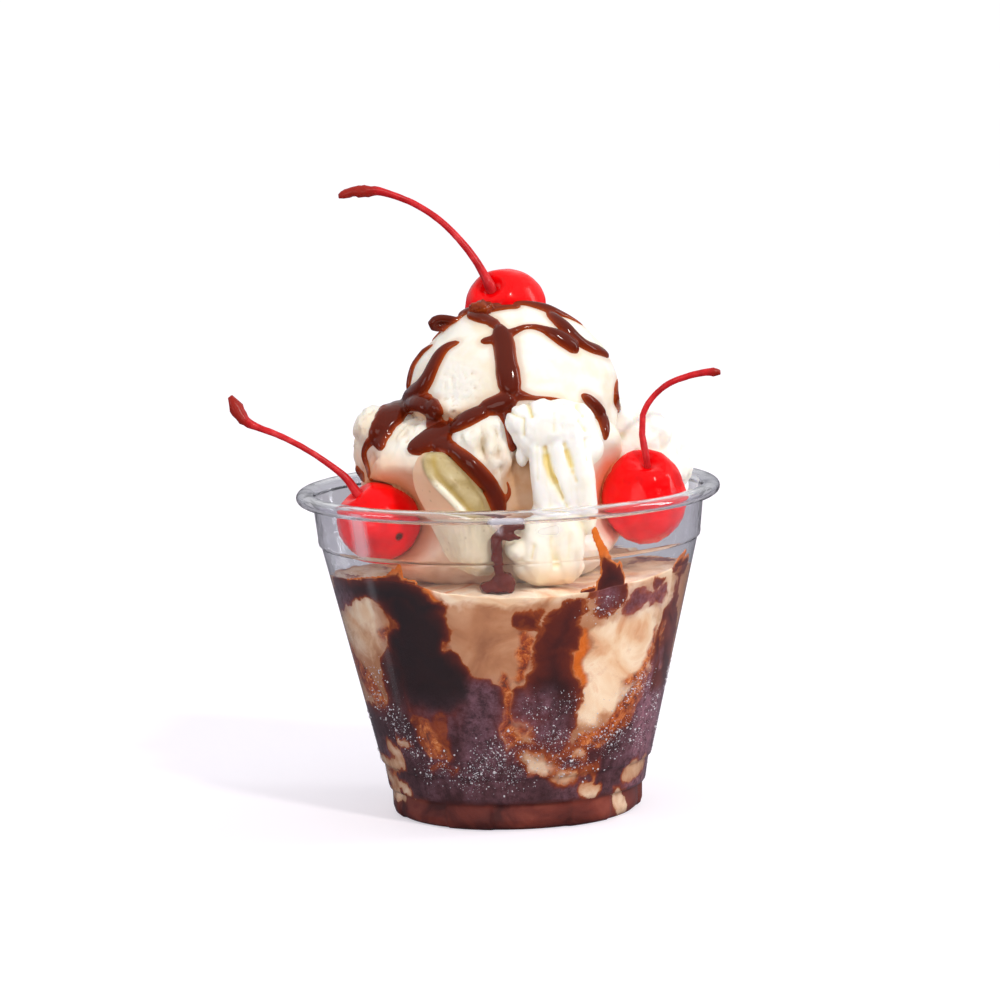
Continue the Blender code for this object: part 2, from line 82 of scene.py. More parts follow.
def new_material(name):
    """An empty node material, its node tree and the socket that its last shader goes to."""
    material = bpy.data.materials.new(name)
    material.use_nodes = True
    tree = material.node_tree
    tree.nodes.clear()
    output = tree.nodes.new("ShaderNodeOutputMaterial")
    return material, tree, output.inputs["Surface"]


def mesh_object(name, points, faces):
    """An object from points in mm."""
    mesh = bpy.data.meshes.new(name)
    mesh.from_pydata([tuple(p) for p in np.asarray(points, float) * MM], [], faces)
    mesh.update()
    mesh.shade_smooth()
    thing = bpy.data.objects.new(name, mesh)
    bpy.context.scene.collection.objects.link(thing)
    return thing


def ring_faces(rings, around):
    """Faces between one ring of points and the next, all the way round."""
    return [(i * around + j, i * around + (j + 1) % around, (i + 1) * around + (j + 1) % around,
             (i + 1) * around + j) for i in range(rings - 1) for j in range(around)]


def end_faces(rings, around):
    """One face over the first ring and one over the last."""
    last = (rings - 1) * around
    return [tuple(range(around))[::-1], tuple(range(last, last + around))]


def closed_on_axis(name, rings, first_height, last_height):
    """A closed skin through rings of points, with a point on the axis at each end."""
    around = len(rings[0])
    last = (len(rings) - 1) * around
    points = [point for ring in rings for point in ring]
    points += [(0, 0, first_height), (0, 0, last_height)]
    faces = ring_faces(len(rings), around)
    faces += [(len(points) - 2, (j + 1) % around, j) for j in range(around)]
    faces += [(len(points) - 1, last + j, last + (j + 1) % around) for j in range(around)]
    return mesh_object(name, points, faces)


def points_of(thing):
    """Vertex places in mm and vertex normals."""
    mesh = thing.data
    points = np.empty(len(mesh.vertices) * 3, np.float32)
    mesh.vertices.foreach_get("co", points)
    normals = np.empty(len(mesh.vertices) * 3, np.float32)
    mesh.vertex_normals.foreach_get("vector", normals)
    return points.reshape(-1, 3) / MM, normals.reshape(-1, 3)


def set_points(thing, points):
    """Moves the vertices to places in mm."""
    thing.data.vertices.foreach_set("co", (np.asarray(points) * MM).astype(np.float32).ravel())
    thing.data.update()


def set_value(thing, name, values):
    """Stores one number a vertex for the shader."""
    layer = thing.data.attributes.new(name, "FLOAT", "POINT")
    layer.data.foreach_set("value", np.asarray(values, np.float32))


def merged(name, things, voxel, smooth=2):
    """Joins overlapping closed meshes into one skin of small even faces."""
    bpy.ops.object.select_all(action="DESELECT")
    for thing in things:
        thing.select_set(True)
    bpy.context.view_layer.objects.active = things[0]
    if len(things) > 1:
        bpy.ops.object.join()
    thing = things[0]
    thing.name = name
    remesh = thing.modifiers.new("skin", "REMESH")
    remesh.mode = "VOXEL"
    remesh.voxel_size = voxel * MM
    soften = thing.modifiers.new("soften", "SMOOTH")
    soften.factor = 0.5
    soften.iterations = smooth
    bpy.context.view_layer.update()
    graph = bpy.context.evaluated_depsgraph_get()
    mesh = bpy.data.meshes.new_from_object(thing.evaluated_get(graph))
    thing.modifiers.clear()
    thing.data = mesh
    mesh.shade_smooth()
    return thing


def bumps(points, size, seed=0.0, octaves=1):
    """Noise between about -1 and 1 for each point, with features about size mm wide."""
    spots = np.asarray(points) / size + seed
    return np.array([noise.fractal(Vector(s), 1.0, 2.0, octaves) for s in spots])


def smoothstep(low, high, values):
    """A soft step from 0 at low to 1 at high; low may be the greater."""
    t = np.clip((np.asarray(values, float) - low) / (high - low), 0.0, 1.0)
    return t * t * (3 - 2 * t)


def finish_piece(thing, material, slot, *nodes):
    thing.data.materials.clear()
    thing.data.materials.append(material)
    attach(thing, "root")
    if nodes:
        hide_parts(*nodes)
    print(f"{thing.name}: {len(thing.data.polygons)} faces, {material.name}")


print("helpers ready")

# %% [markdown]
# The cup is thermoformed from 0.5 mm clear PET: a tapering wall, a stacking ring under the rim, a
# rolled rim 92 mm across, two small steps near the bottom, and a foot ring with six lugs. Its
# cross-section is turned round the axis, as in the solid but with finer steps.

# %% Turn the cup
WALL = 0.5
CUP_HEIGHT = 71.5
RIM_RADIUS = 46.0
ROLL_WIDE = 1.7
ROLL_HIGH = 1.25
ROLL = (RIM_RADIUS - WALL / 2 - ROLL_WIDE, CUP_HEIGHT - WALL / 2 - ROLL_HIGH)
FLARE = 0.11
LUG_ANGLE = -24.0
LUG_SPACING = 60
LUG_DEPTH = 0.6

# (radius, height) of the wall's middle, from the floor over the foot and two steps to the ring
wall_path = [(0.0, 0.25), (25.2, 0.25), (26.0, 0.42), (26.6, 0.9), (26.95, 2.0), (27.05, 5.4),
             (27.2, 5.9), (27.7, 6.2), (27.85, 6.7), (28.6, 11.3), (28.85, 11.9), (29.3, 12.15),
             (29.45, 12.8), (40.55, 59.1), (40.9, 59.6), (41.2, 59.9), (41.3, 60.4),
             (41.3, 61.2), (41.38, 61.8)]
ring_radius, ring_top = wall_path[-1]
wall_path += [(ring_radius + FLARE * (z - ring_top), z) for z in np.arange(62.3, 69.9, 0.5)]
roll_path = [(ROLL[0] + ROLL_WIDE * math.cos(math.radians(a)),
              ROLL[1] + ROLL_HIGH * math.sin(math.radians(a))) for a in range(180, -91, -15)]


def wall_radius(z):
    """The middle of the wall at height z, for numbers or arrays."""
    path = np.array(wall_path[1:])
    return np.interp(z, path[:, 1], path[:, 0])


def sheet_sides(path, half):
    """Both sides of the sheet, from the inner floor over the rim to the underside."""
    path = np.array(path)
    way = np.gradient(path, axis=0)
    way /= np.linalg.norm(way, axis=1)[:, None]
    side = np.stack([-way[:, 1], way[:, 0]], 1) * half
    inner = path + side
    outer = path - side
    inner[:, 0] = inner[:, 0].clip(0)
    outer[:, 0] = outer[:, 0].clip(0)
    return np.vstack([inner, outer[::-1]])


def turned(name, outline, steps):
    """A skin turned round +Z from (radius, height) points whose first and last lie on the axis."""
    angles = np.arange(steps) * 2 * math.pi / steps
    rings = [[(r * math.sin(a), -r * math.cos(a), z) for a in angles] for r, z in outline[1:-1]]
    return closed_on_axis(name, rings, outline[0][1], outline[-1][1])


def foot_inset(x, y, z):
    """How far the foot ring is pressed in between its lugs."""
    turn = np.degrees(np.arctan2(x, -y)) - LUG_ANGLE
    away = np.abs((turn + LUG_SPACING / 2) % LUG_SPACING - LUG_SPACING / 2)
    share = smoothstep(10.5, 12.5, away)
    return LUG_DEPTH * share * smoothstep(6.2, 5.6, z) * smoothstep(23.5, 25.5, np.hypot(x, y))


def press_foot(thing):
    """Presses the foot ring in between its lugs, and gives the new places."""
    points, _ = points_of(thing)
    radius = np.hypot(points[:, 0], points[:, 1]).clip(1)
    points[:, :2] *= (1 - foot_inset(*points.T) / radius)[:, None]
    set_points(thing, points)
    return points


cup = turned("clear_cup", sheet_sides(wall_path + roll_path, WALL / 2), 240)
press_foot(cup)
bm = bmesh.new()
bm.from_mesh(cup.data)
bmesh.ops.recalc_face_normals(bm, faces=bm.faces)
bm.to_mesh(cup.data)
bm.free()
print("cup radius at 20 and 55 mm:", wall_radius(20.0).round(2), wall_radius(55.0).round(2))

# %% [markdown]
# PET is clear, with an IOR of 1.575. Thermoforming leaves faint ripples a few millimetres long,
# which show as a slight bump. Shadow rays pass straight through, so that the food behind the wall
# is lit as it is behind a real half-millimetre sheet.

# %% PET material
pet, tree, surface = new_material("clear_pet")
place = add_node(tree, "ShaderNodeTexCoord")
ripple = add_node(tree, "ShaderNodeTexNoise", {"Vector": place.outputs["Object"], "Scale": 160.0,
                                              "Detail": 2.0})
ripple_bump = add_node(tree, "ShaderNodeBump", {"Height": ripple.outputs["Fac"],
                                                "Strength": 0.12, "Distance": 0.0004})
haze = add_node(tree, "ShaderNodeMapRange", {"Value": ripple.outputs["Fac"], "From Min": 0.4,
                                             "From Max": 0.8, "To Min": 0.01, "To Max": 0.05})
plastic = add_node(tree, "ShaderNodeBsdfPrincipled", {
    "Base Color": linear("#fbfbff"), "Roughness": haze.outputs["Result"], "IOR": 1.575,
    "Transmission Weight": 1.0, "Normal": ripple_bump.outputs["Normal"]})
rays = add_node(tree, "ShaderNodeLightPath")
through = add_node(tree, "ShaderNodeBsdfTransparent", {"Color": linear("#f6f6fa")})
# A white diffuse sheet, mixed in by the stored veil value, paints reflections on the wall
reflection_paint = add_node(tree, "ShaderNodeBsdfDiffuse", {"Color": linear("#eceaf0")})
veil = add_node(tree, "ShaderNodeAttribute", attribute_name="veil").outputs["Fac"]
wall = add_node(tree, "ShaderNodeMixShader", {0: veil, 1: plastic.outputs[0], 2: reflection_paint.outputs[0]})
both = add_node(tree, "ShaderNodeMixShader", {0: rays.outputs["Is Shadow Ray"],
                                              1: wall.outputs[0], 2: through.outputs[0]})
tree.links.new(both.outputs[0], surface)
finish_piece(cup, pet, "clear_pet", "cup")

# %% [markdown]
# The filling is melted ice cream with chocolate syrup run down the inside of the cup. It is one
# skin that reaches a little into the PET, so no air shows between them. Each vertex on the wall
# stores how deep it lies inside a syrup stroke, in millimetres. A stroke's points are given by
# their angle from the front and their height. Round the back the front's strokes come again,
# swayed so far that they look new.

# %% Strokes of syrup on the wall
FILL_LEVEL = 52.4

# (angle in degrees, height in mm, half width in mm) along each stroke of thick syrup
SYRUP = {
    "left_band": [(-88, 47.6, 1.8), (-80, 48.4, 2.2), (-74, 50.6, 3.4), (-70, 51.6, 3.5),
                  (-60, 52.0, 2.7), (-50, 52.8, 2.9), (-44, 52.6, 3.6), (-38, 52.4, 4.0),
                  (-31, 51.2, 3.8), (-27, 49.6, 3.4)],
    "mass_neck": [(-38, 49, 5.0), (-33, 45, 6.8), (-34, 41, 7.0)],
    "mass_shoulder": [(-30, 49, 4.6), (-28.5, 46.5, 4.2)],
    "mass_body": [(-36, 38, 8.0), (-32, 34.5, 9.2), (-26, 33, 7.6)],
    "mass_left": [(-46, 36, 4.6), (-48, 31, 4.6), (-50, 27, 3.6), (-50, 22, 3.4), (-49, 18, 3.0)],
    "mass_right": [(-22, 32, 4.4), (-14, 30.2, 4.2), (-12, 29.2, 4.0)],
    "mass_tail": [(-14.5, 26, 5.0), (-15.5, 20, 5.4), (-14.5, 14, 5.0)],
    "drop": [(3.0, 47.3, 1.9), (7.0, 47.3, 1.8)],
    "drip": [(25.2, 65.8, 0.85), (26.2, 64.0, 0.95), (28.0, 61.4, 1.15), (29.6, 58.8, 1.55),
             (31.4, 56.6, 2.4), (32.6, 54.0, 3.7), (32.6, 51.6, 4.2), (31.8, 49.2, 3.5)],
    "drip_spur": [(34.6, 58.2, 0.5), (34.8, 56.2, 1.2)],
    "streak": [(26.4, 53.0, 0.9), (22.4, 52.0, 1.4), (20.6, 50.4, 2.2), (19.6, 48.0, 3.2),
               (17.4, 45.4, 4.3), (14.6, 42.4, 4.6), (13.4, 38, 4.5), (13.6, 34, 4.7),
               (13.8, 31.4, 5.4)],
    "streak_foot": [(3.5, 31, 2.2), (5, 27.5, 3.6), (14, 27.6, 5.0), (20.5, 28.4, 3.4),
                    (16, 24, 4.6), (11, 21.6, 3.2)],
    "oval_one": [(40.4, 47.9, 1.5), (44, 49.3, 2.2), (48.2, 50.5, 1.4)],
    "oval_two": [(53.4, 52.5, 1.3), (54.6, 52.9, 1.2)],
    "oval_three": [(52.4, 48.6, 1.5), (58.0, 49.6, 1.5)],
    "right_run": [(69, 57.4, 0.8), (66.0, 55.4, 2.0), (63.6, 54.6, 1.6), (68, 53.6, 2.6),
                  (72.4, 55.2, 1.7)],
    "right_stem": [(68, 51, 1.4), (68, 47.5, 1.8)],
    "right_oval": [(66, 43.2, 4.0), (67.2, 38, 6.4), (69.8, 33.4, 6.0), (73.2, 29, 3.4)],
    "foot": [(a, 2.4, 3.4) for a in range(-180, 181, 12)],
}
# Peak of syrup that only wets the wall above the left band
PEAK = {"peak": [(-42, 55.4, 1.0), (-37.6, 56.4, 2.0), (-35.8, 58.2, 0.9), (-35.2, 59.4, 0.35)],
        "slope": [(-62, 54.2, 0.5), (-52, 55.2, 0.6), (-40, 55.8, 1.0), (-31, 55.4, 0.8)]}
# Thin syrup that glows rust orange
RUST = {
    "band_edge": [(-62, 54.6, 0.4), (-50, 55.8, 0.5), (-42, 56.6, 0.5)],
    "band_right": [(-31, 55.4, 0.5), (-26, 53.6, 0.5), (-23, 51.0, 0.4)],
    "inside_mass": [(-42, 24.5, 2.0), (-38, 22, 3.4), (-33, 18, 4.0), (-30.5, 25, 2.2)],
    "left_side": [(-78, 36, 2.6), (-68, 31, 3.0), (-60, 28, 2.0)],
    "left_spots": [(-44, 47.5, 1.0), (-41, 45.4, 0.9), (-50, 43.0, 1.1)],
    "notch": [(-24.4, 42.4, 0.8), (-22.8, 40.8, 0.8)],
    "glow_right": [(24.4, 44.6, 0.5), (23.4, 41, 1.0), (23.0, 36.6, 1.1), (24.4, 32.4, 0.7)],
    "glow_left": [(4.6, 44, 1.2), (3.4, 38.6, 1.5), (2.4, 35.0, 1.2)],
    "seam": [(-4, 35, 0.9), (-3.4, 31, 1.1), (-2.8, 25, 1.5), (-1.6, 21, 1.5)],
    "foot_glow": [(3, 22.8, 1.0), (7, 22.2, 0.9)],
    "low_band": [(1, 17.4, 1.4), (8, 16.2, 2.4), (16, 15.8, 2.0), (22, 16.8, 2.2), (30, 18.6, 2.6),
                 (38, 20.6, 2.4), (46, 24.0, 2.8), (52, 28, 2.6), (56, 30.8, 1.4)],
    "low_band_two": [(15, 12.4, 1.3), (26, 11.8, 1.6), (34, 13.4, 1.6), (36, 11, 1.0)],
    "right_inner": [(56.5, 42, 0.6), (57, 37, 0.9), (54.5, 33, 1.0), (44, 31.0, 0.8)],
    "run_tip": [(66, 55.4, 2.4), (70.5, 55.6, 2.2), (69, 57.6, 0.8)],
    "oval_glow": [(62.8, 42.4, 1.5), (64, 37, 1.7), (67, 33, 1.2)],
    "step_left": [(-66, 10.6, 0.9), (-76, 8.8, 0.8)],
    "under_mass": [(-38, 12.8, 1.2), (-26, 13.6, 1.0)],
}
# Ice cream that stayed pale
PALE = {
    "froth": [(-24, 53.0, 1.0), (0, 52.0, 1.2), (22, 52.6, 0.8)],
    "right_field": [(30, 42.4, 2.0), (40, 41.6, 3.4), (52, 42.4, 2.8), (51, 37.6, 3.8),
                    (42, 37, 4.2), (32, 37, 3.4), (31, 30, 3.4), (28, 25.4, 2.0)],
    "right_low": [(36, 30, 3.0), (38, 27, 1.2)],
    "right_top": [(40, 54.4, 1.0), (48, 54.8, 1.2), (59, 54.0, 1.2), (61, 50, 0.8)],
    "right_gap": [(40, 45.4, 0.8), (56, 46.0, 0.9)],
    "left_field": [(-80, 44.6, 2.0), (-68, 44.6, 2.2), (-60, 47.4, 2.0), (-53, 48.4, 1.2)],
    "low_one": [(3, 16.6, 1.5), (8, 15.2, 2.0), (12.5, 14.2, 1.3)],
    "low_spot": [(25, 16, 0.8), (28, 15.6, 0.8)],
    "low_two": [(18, 11.8, 0.9), (24, 11.4, 1.0)],
    "low_three": [(30.4, 8.0, 1.1), (37, 8.2, 1.2)],
    "low_four": [(56, 9.4, 1.5), (64, 10.4, 1.9), (70, 10.6, 1.5)],
    "low_five": [(50, 6.0, 0.8), (55, 3.8, 1.7), (60, 2.0, 1.6)],
    "low_six": [(-86, 10.2, 1.3), (-70, 8.8, 1.2), (-57, 7.2, 0.9)],
    "low_seven": [(-82, 13.2, 1.0), (-68, 12.4, 0.9), (-57, 13.8, 1.1)],
    "low_eight": [(-86, 4.6, 1.4), (-68, 5.8, 0.9)],
    "mass_core": [(-39, 23, 1.0), (-36.5, 20.6, 1.4), (-33, 18.4, 1.5)],
    "left_low": [(-64, 17.0, 0.6), (-57, 16.0, 0.6)],
    "left_spot": [(-53, 19.0, 0.5), (-48.5, 18.6, 0.5)],
}
# Frost and condensation that veil the dark parts
HAZE = {
    "right": [(66, 34, 3.0), (64, 28, 5.0), (62, 22, 6.0), (78, 20, 8.0)],
    "centre": [(-12, 31, 2.4), (-13, 24, 4.6), (-13, 16, 5.6)],
    "streak": [(8, 27, 4.4), (14, 22, 3.4)],
    "drip": [(31, 51.4, 2.2), (32, 49.4, 1.8)],
    "stem": [(68, 51, 1.6), (68, 47.5, 2.0)],
    "ovals": [(42, 49, 2.2), (48, 50, 2.2), (57, 49, 2.2)],
    "band": [(-78, 49, 3.0), (-66, 50, 2.0)],
}
# How high the dark, half frozen syrup at the bottom reaches: (angle, height in mm)
DARK_BELOW = [(-180, 25), (-140, 21), (-90, 26), (-75, 26), (-58, 27), (-52, 30), (-44, 28),
              (-30, 27), (-7, 24), (-4.5, 18.5), (0, 20), (20, 19.5), (28, 17.5), (40, 20),
              (50, 25), (58, 31), (70, 33), (90, 30), (120, 24), (150, 20), (180, 25)]
# The filling's upper edge on the wall: (angle, height in mm)
EDGE = [(-180, 52.6), (-120, 53.0), (-90, 53.2), (-74, 54.2), (-62, 54.4), (-50, 55.2), (-40, 55.6),
        (-31, 55.2), (-26, 53.8), (-15, 52.9), (-4, 52.3), (15, 52.2), (25, 52.5), (44, 53.6),
        (62, 54.8), (72, 54.6), (90, 53.2), (120, 52.8), (180, 52.6)]
# Painted reflections: whitish patches painted on the wall above the filling where it mirrors bright
# surroundings
PAINTED_WALL_REFLECTIONS = {
    "left": [(-49.5, 68.2, 2.0), (-49, 61.8, 2.2)],
    "gap": [(-4.4, 69.4, 0.7), (2.8, 69.3, 0.6)],
    "gap_drop": [(-4.0, 68.8, 0.6), (-3.4, 66.6, 0.2)],
    "cream": [(8.6, 66.4, 0.8), (13, 66.6, 1.3)],
}
print("strokes of syrup, rust, pale ice cream and haze:", len(SYRUP), len(RUST), len(PALE),
      len(HAZE))

# %% [markdown]
# A stroke is read like the mark of a round brush that changes its width. For any place on the
# unrolled wall, the nearest point of the stroke's middle line gives the brush's half width there,
# and what is left after the distance to it is the depth inside the stroke.

# %% Depth inside the strokes
def stroke_depth(turns, heights, stroke):
    """Distance in mm inside a stroke's edge, negative outside, on the unrolled wall."""
    best = np.full(len(turns), -99.0)
    size = wall_radius(heights) * math.pi / 180
    for (a0, z0, w0), (a1, z1, w1) in zip(stroke, stroke[1:]):
        dx = ((turns - a0 + 180) % 360 - 180) * size
        dz = heights - z0
        ex = ((a1 - a0 + 180) % 360 - 180) * size
        ez = z1 - z0
        share = np.clip((dx * ex + dz * ez) / (ex * ex + ez * ez + 1e-6), 0, 1)
        away = np.hypot(dx - share * ex, dz - share * ez)
        best = np.maximum(best, w0 + (w1 - w0) * share - away)
    return best


def deepest(turns, heights, strokes):
    """The greatest depth inside any stroke."""
    found = np.full(len(turns), -99.0)
    for stroke in strokes.values():
        found = np.maximum(found, stroke_depth(turns, heights, stroke))
    return found


def folded(turns, heights):
    """Angles and heights at which the front's strokes are read; the back repeats them askew."""
    behind = np.clip((np.abs(turns) - 90) / 90, 0, 1)
    front = np.where(np.abs(turns) > 90, np.sign(turns) * (180 - np.abs(turns)), turns)
    spots = np.stack([front * 0.6, heights, heights * 0], 1)
    sway = smoothstep(0.0, 0.25, behind)
    front = front + sway * 20 * bumps(spots, 14.0, 21.0, 2)
    return front, heights + sway * (7 * bumps(spots, 13.0, 33.0, 2) + 2)


def named(strokes, *starts):
    """The strokes whose names start in one of these ways."""
    return {name: stroke for name, stroke in strokes.items() if name.startswith(starts)}


# The painted reflections over the dark gap in the middle are denser and have a crisper edge than the
# others
ROLL_FOOT = 69.6
places, _ = points_of(cup)
cup_turn = np.degrees(np.arctan2(places[:, 0], -places[:, 1]))
outside = np.hypot(places[:, 0], places[:, 1]) > wall_radius(places[:, 2])
in_gap = np.abs(cup_turn) < 7
brush_softness = np.where(in_gap, 0.6, 1.3)
painted_reflection = smoothstep(-1, 0.8, deepest(cup_turn, places[:, 2], PAINTED_WALL_REFLECTIONS) / brush_softness) * outside
# The stored veil value is the share of painted reflection on the wall's outside
set_value(cup, "veil", (0.42 + 0.34 * in_gap) * painted_reflection * (places[:, 2] < ROLL_FOOT))
print("smeared points of the cup:", int((painted_reflection > 0.5).sum()))

# %% [markdown]
# The filling is built as rings of points from the bottom up the wall, and then over its top in
# smaller and smaller rings. Only the top has lumps, because the cup shapes everything else.

# %% Build the filling
STEPS = 540
angles = np.arange(STEPS) * 360.0 / STEPS
ring_x = np.sin(np.radians(angles))
ring_y = -np.cos(np.radians(angles))
signed = (angles + 180) % 360 - 180
around_top = np.stack([ring_x * 3.2, ring_y * 3.2, ring_x * 0], 1)
level = np.interp(signed, *zip(*EDGE)) + 0.25 * bumps(around_top, 0.4, 3.1, 2)
inner_level = FILL_LEVEL + 0.2 + 0.6 * bumps(around_top, 1.0, 3.1)
INTO_WALL = 0.06
BOTTOM = 0.55

rows = []
for z in np.concatenate([np.linspace(BOTTOM, 6.0, 12), np.linspace(6.4, 12.6, 14),
                         np.linspace(13.2, 48.0, 58)]):
    heights = np.full(STEPS, z)
    rows.append((wall_radius(heights) - WALL / 2 + INTO_WALL, heights))
for share in np.linspace(0.08, 1.0, 16):
    heights = 48.0 + (level - 48.0) * share
    rows.append((wall_radius(heights) - WALL / 2 + INTO_WALL, heights))
edge = rows[-1][0]
rows.append((edge - 0.3, level + 0.08))
for share in (0.985, 0.97, 0.95, 0.93, 0.9, 0.86, 0.8, 0.72, 0.62, 0.48, 0.34, 0.2):
    spot = np.stack([ring_x * edge * share, ring_y * edge * share, ring_x * 0], 1)
    lift = 0.8 * bumps(spot, 7.0, 1.3, 3) * smoothstep(1.0, 0.93, share)
    climb = smoothstep(0.88, 1.0, share) ** 1.5
    rows.append((edge * share, inner_level + (level - inner_level) * climb + lift))
bottom_radius = rows[0][0][0]
rows = [(np.full(STEPS, bottom_radius * s), np.full(STEPS, BOTTOM)) for s in (0.5, 0.95)] + rows

rings = [np.stack([r * ring_x, r * ring_y, z], 1) for r, z in rows]
filling = closed_on_axis("marbled_filling", rings, BOTTOM, FILL_LEVEL + 0.3)
points = press_foot(filling)
print("filling reaches", level.min().round(1), "to", level.max().round(1), "mm;", len(points),
      "points")

# %% [markdown]
# Now every point of the filling learns what covers it. The strokes' edges are bent by noise first,
# as melted ice cream bends them. Thick syrup comes first, then the thin rust and the pale patches
# take their places out of it, and frost is laid over the dark parts.

# %% Marks of syrup, rust, cream and frost
turn = np.degrees(np.arctan2(points[:, 0], -points[:, 1]))
height = points[:, 2]
near_top = smoothstep(50, 54, height)
front_turn, front_height = folded(turn, height)
spots = np.stack([turn * 0.6, height, height * 0], 1)
wave = (1 - 0.75 * near_top) * smoothstep(180, 165, np.abs(turn))
front_turn = front_turn + wave * (2.4 * bumps(spots, 7.0, 2.0, 3) + 0.8 * bumps(spots, 2.4, 6.0, 2))
front_height = front_height + wave * (1.5 * bumps(spots, 6.0, 9.0, 3)
                                      + 0.6 * bumps(spots, 2.2, 3.0, 2))
syrup_depth = deepest(front_turn, front_height, SYRUP)
mass_depth = deepest(front_turn, front_height, named(SYRUP, "mass", "left_band"))
left_share = 1 - 0.55 * smoothstep(-40, -50, front_turn) * smoothstep(46, 42, front_height)
syrup_depth = np.where(mass_depth > 0, np.maximum(syrup_depth, mass_depth * 1.8 * left_share),
                       syrup_depth)
# Syrup is thinner in the streak at the front right and in the oval beside it, so both look redder; on
# the front right this also paints light where the key light falls
oval = smoothstep(61, 63, front_turn) * smoothstep(82, 78, front_turn) * smoothstep(25, 29, height)
lit = smoothstep(0, 3, front_turn) * smoothstep(62, 58, front_turn) * smoothstep(31, 37, height)
syrup_depth = np.where(syrup_depth > 0, syrup_depth * (1 - 0.62 * np.maximum(oval, lit)),
                       syrup_depth)
# Below a wavy level all is dark, up to a depth of about 4 mm
low = np.interp((front_turn + 180) % 360 - 180, *zip(*DARK_BELOW)) - front_height
syrup_depth = np.maximum(syrup_depth, np.minimum(low * 0.9, 4.2))
pale_depth = deepest(front_turn, front_height, PALE)
rust_depth = deepest(front_turn, front_height, RUST)
low_pale = deepest(front_turn, front_height, named(PALE, "low"))
rust_depth = np.where(low_pale > -0.4, np.minimum(rust_depth, -low_pale - 0.1), rust_depth)
haze_depth = deepest(front_turn, front_height, HAZE)

thin = smoothstep(-0.6, 0.6, rust_depth)
syrup_depth = syrup_depth * (1 - thin) + np.minimum(syrup_depth, -0.1) * thin
syrup_depth = np.where(pale_depth > -1.2, np.minimum(syrup_depth, -pale_depth - 0.6), syrup_depth)
# The top has puddles of syrup instead of strokes, more of them at the back, where they also paint the
# shade under the scoops
wall_gap = wall_radius(height) - np.hypot(points[:, 0], points[:, 1])
top_side = (wall_gap > 1.0) & (height > 30)
behind = smoothstep(-10, 20, points[:, 1])
puddle = bumps(points, 10.0, 4.0, 2) * 2.4 - 2.2 + 1.6 * behind
syrup_depth = np.where(top_side, puddle, syrup_depth)
set_value(filling, "syrup", np.minimum(syrup_depth, 6.0))
set_value(filling, "rust", smoothstep(-1.6, 1.0, rust_depth) * (1 - top_side))
right_field = (0.55 * smoothstep(22, 34, turn) * smoothstep(75, 60, turn)
               * smoothstep(24, 30, height))
left_field = (0.6 * smoothstep(-44, -54, turn) * smoothstep(-100, -80, turn)
              * smoothstep(33, 41, height))
pale = np.maximum.reduce([smoothstep(-2.4, 1.4, pale_depth), right_field, left_field])
pale *= 1 - 0.42 * smoothstep(22, 18, height)
# The top is paler at the front and darker at the back, partly as painted shade under the scoops
set_value(filling, "pale", np.where(top_side, 0.9 - 0.6 * behind, pale))
# Frost lies in patches over the dark zone, and more evenly at the right
frosty = 0.78 * smoothstep(33, 22, height) * smoothstep(-0.5, 0.8, syrup_depth)
patchy = 0.35 + 0.65 * smoothstep(-0.6, 0.5, bumps(spots, 9.0, 12.0, 2))
frosty *= np.maximum(patchy, smoothstep(50, 60, turn))
to_right = smoothstep(50, 60, turn) * smoothstep(110, 90, turn)
right_frost = 1 + 1.3 * to_right * smoothstep(34, 30, height)
haze = np.maximum(smoothstep(-2.5, 1.6, haze_depth), frosty) * right_frost
haze *= 1 - oval * (syrup_depth > 0)
in_foot = smoothstep(6.8, 5.6, height)
set_value(filling, "haze", haze * (1 - in_foot))
glow_depth = deepest(front_turn, front_height, named(RUST, "band", "glow_right"))
set_value(filling, "glow", 0.8 * smoothstep(-1.0, 0.6, glow_depth))
set_value(filling, "foot", np.maximum(in_foot, 0.85 * oval))
print("share of the filling under syrup:", (syrup_depth > 0).mean().round(2))

# %% [markdown]
# Where the syrup is thick it is nearly black, and where it thins out over the ice cream its edge
# turns rust orange. The ice cream between the strokes runs from nearly white to a tan that is
# half syrup. Frost makes the dark parts near the bottom purplish grey.

# %% Filling material
marble, tree, surface = new_material("melted_ice_cream_and_syrup")
place = add_node(tree, "ShaderNodeTexCoord").outputs["Object"]
stored = {name: add_node(tree, "ShaderNodeAttribute", attribute_name=name).outputs["Fac"]
          for name in ("syrup", "rust", "pale", "haze", "foot", "glow")}
swirl = add_node(tree, "ShaderNodeTexNoise", {"Vector": place, "Scale": 210.0, "Detail": 6.0,
                                             "Roughness": 0.62, "Distortion": 0.9}).outputs["Fac"]
fine = add_node(tree, "ShaderNodeTexNoise", {"Vector": place, "Scale": 1100.0, "Detail": 3.0,
                                            "Roughness": 0.6}).outputs["Fac"]
clouds = add_node(tree, "ShaderNodeTexNoise", {"Vector": place, "Scale": 80.0, "Detail": 5.0,
                                              "Distortion": 1.4}).outputs["Fac"]


def stirred(value, noise_share):
    """A stored value with noise added, so that its edges break up."""
    push = add_node(tree, "ShaderNodeMath", {0: swirl, 1: noise_share,
                                             2: -noise_share / 2}, operation="MULTIPLY_ADD")
    return add_node(tree, "ShaderNodeMath", {0: value, 1: push.outputs[0]},
                    operation="ADD").outputs[0]


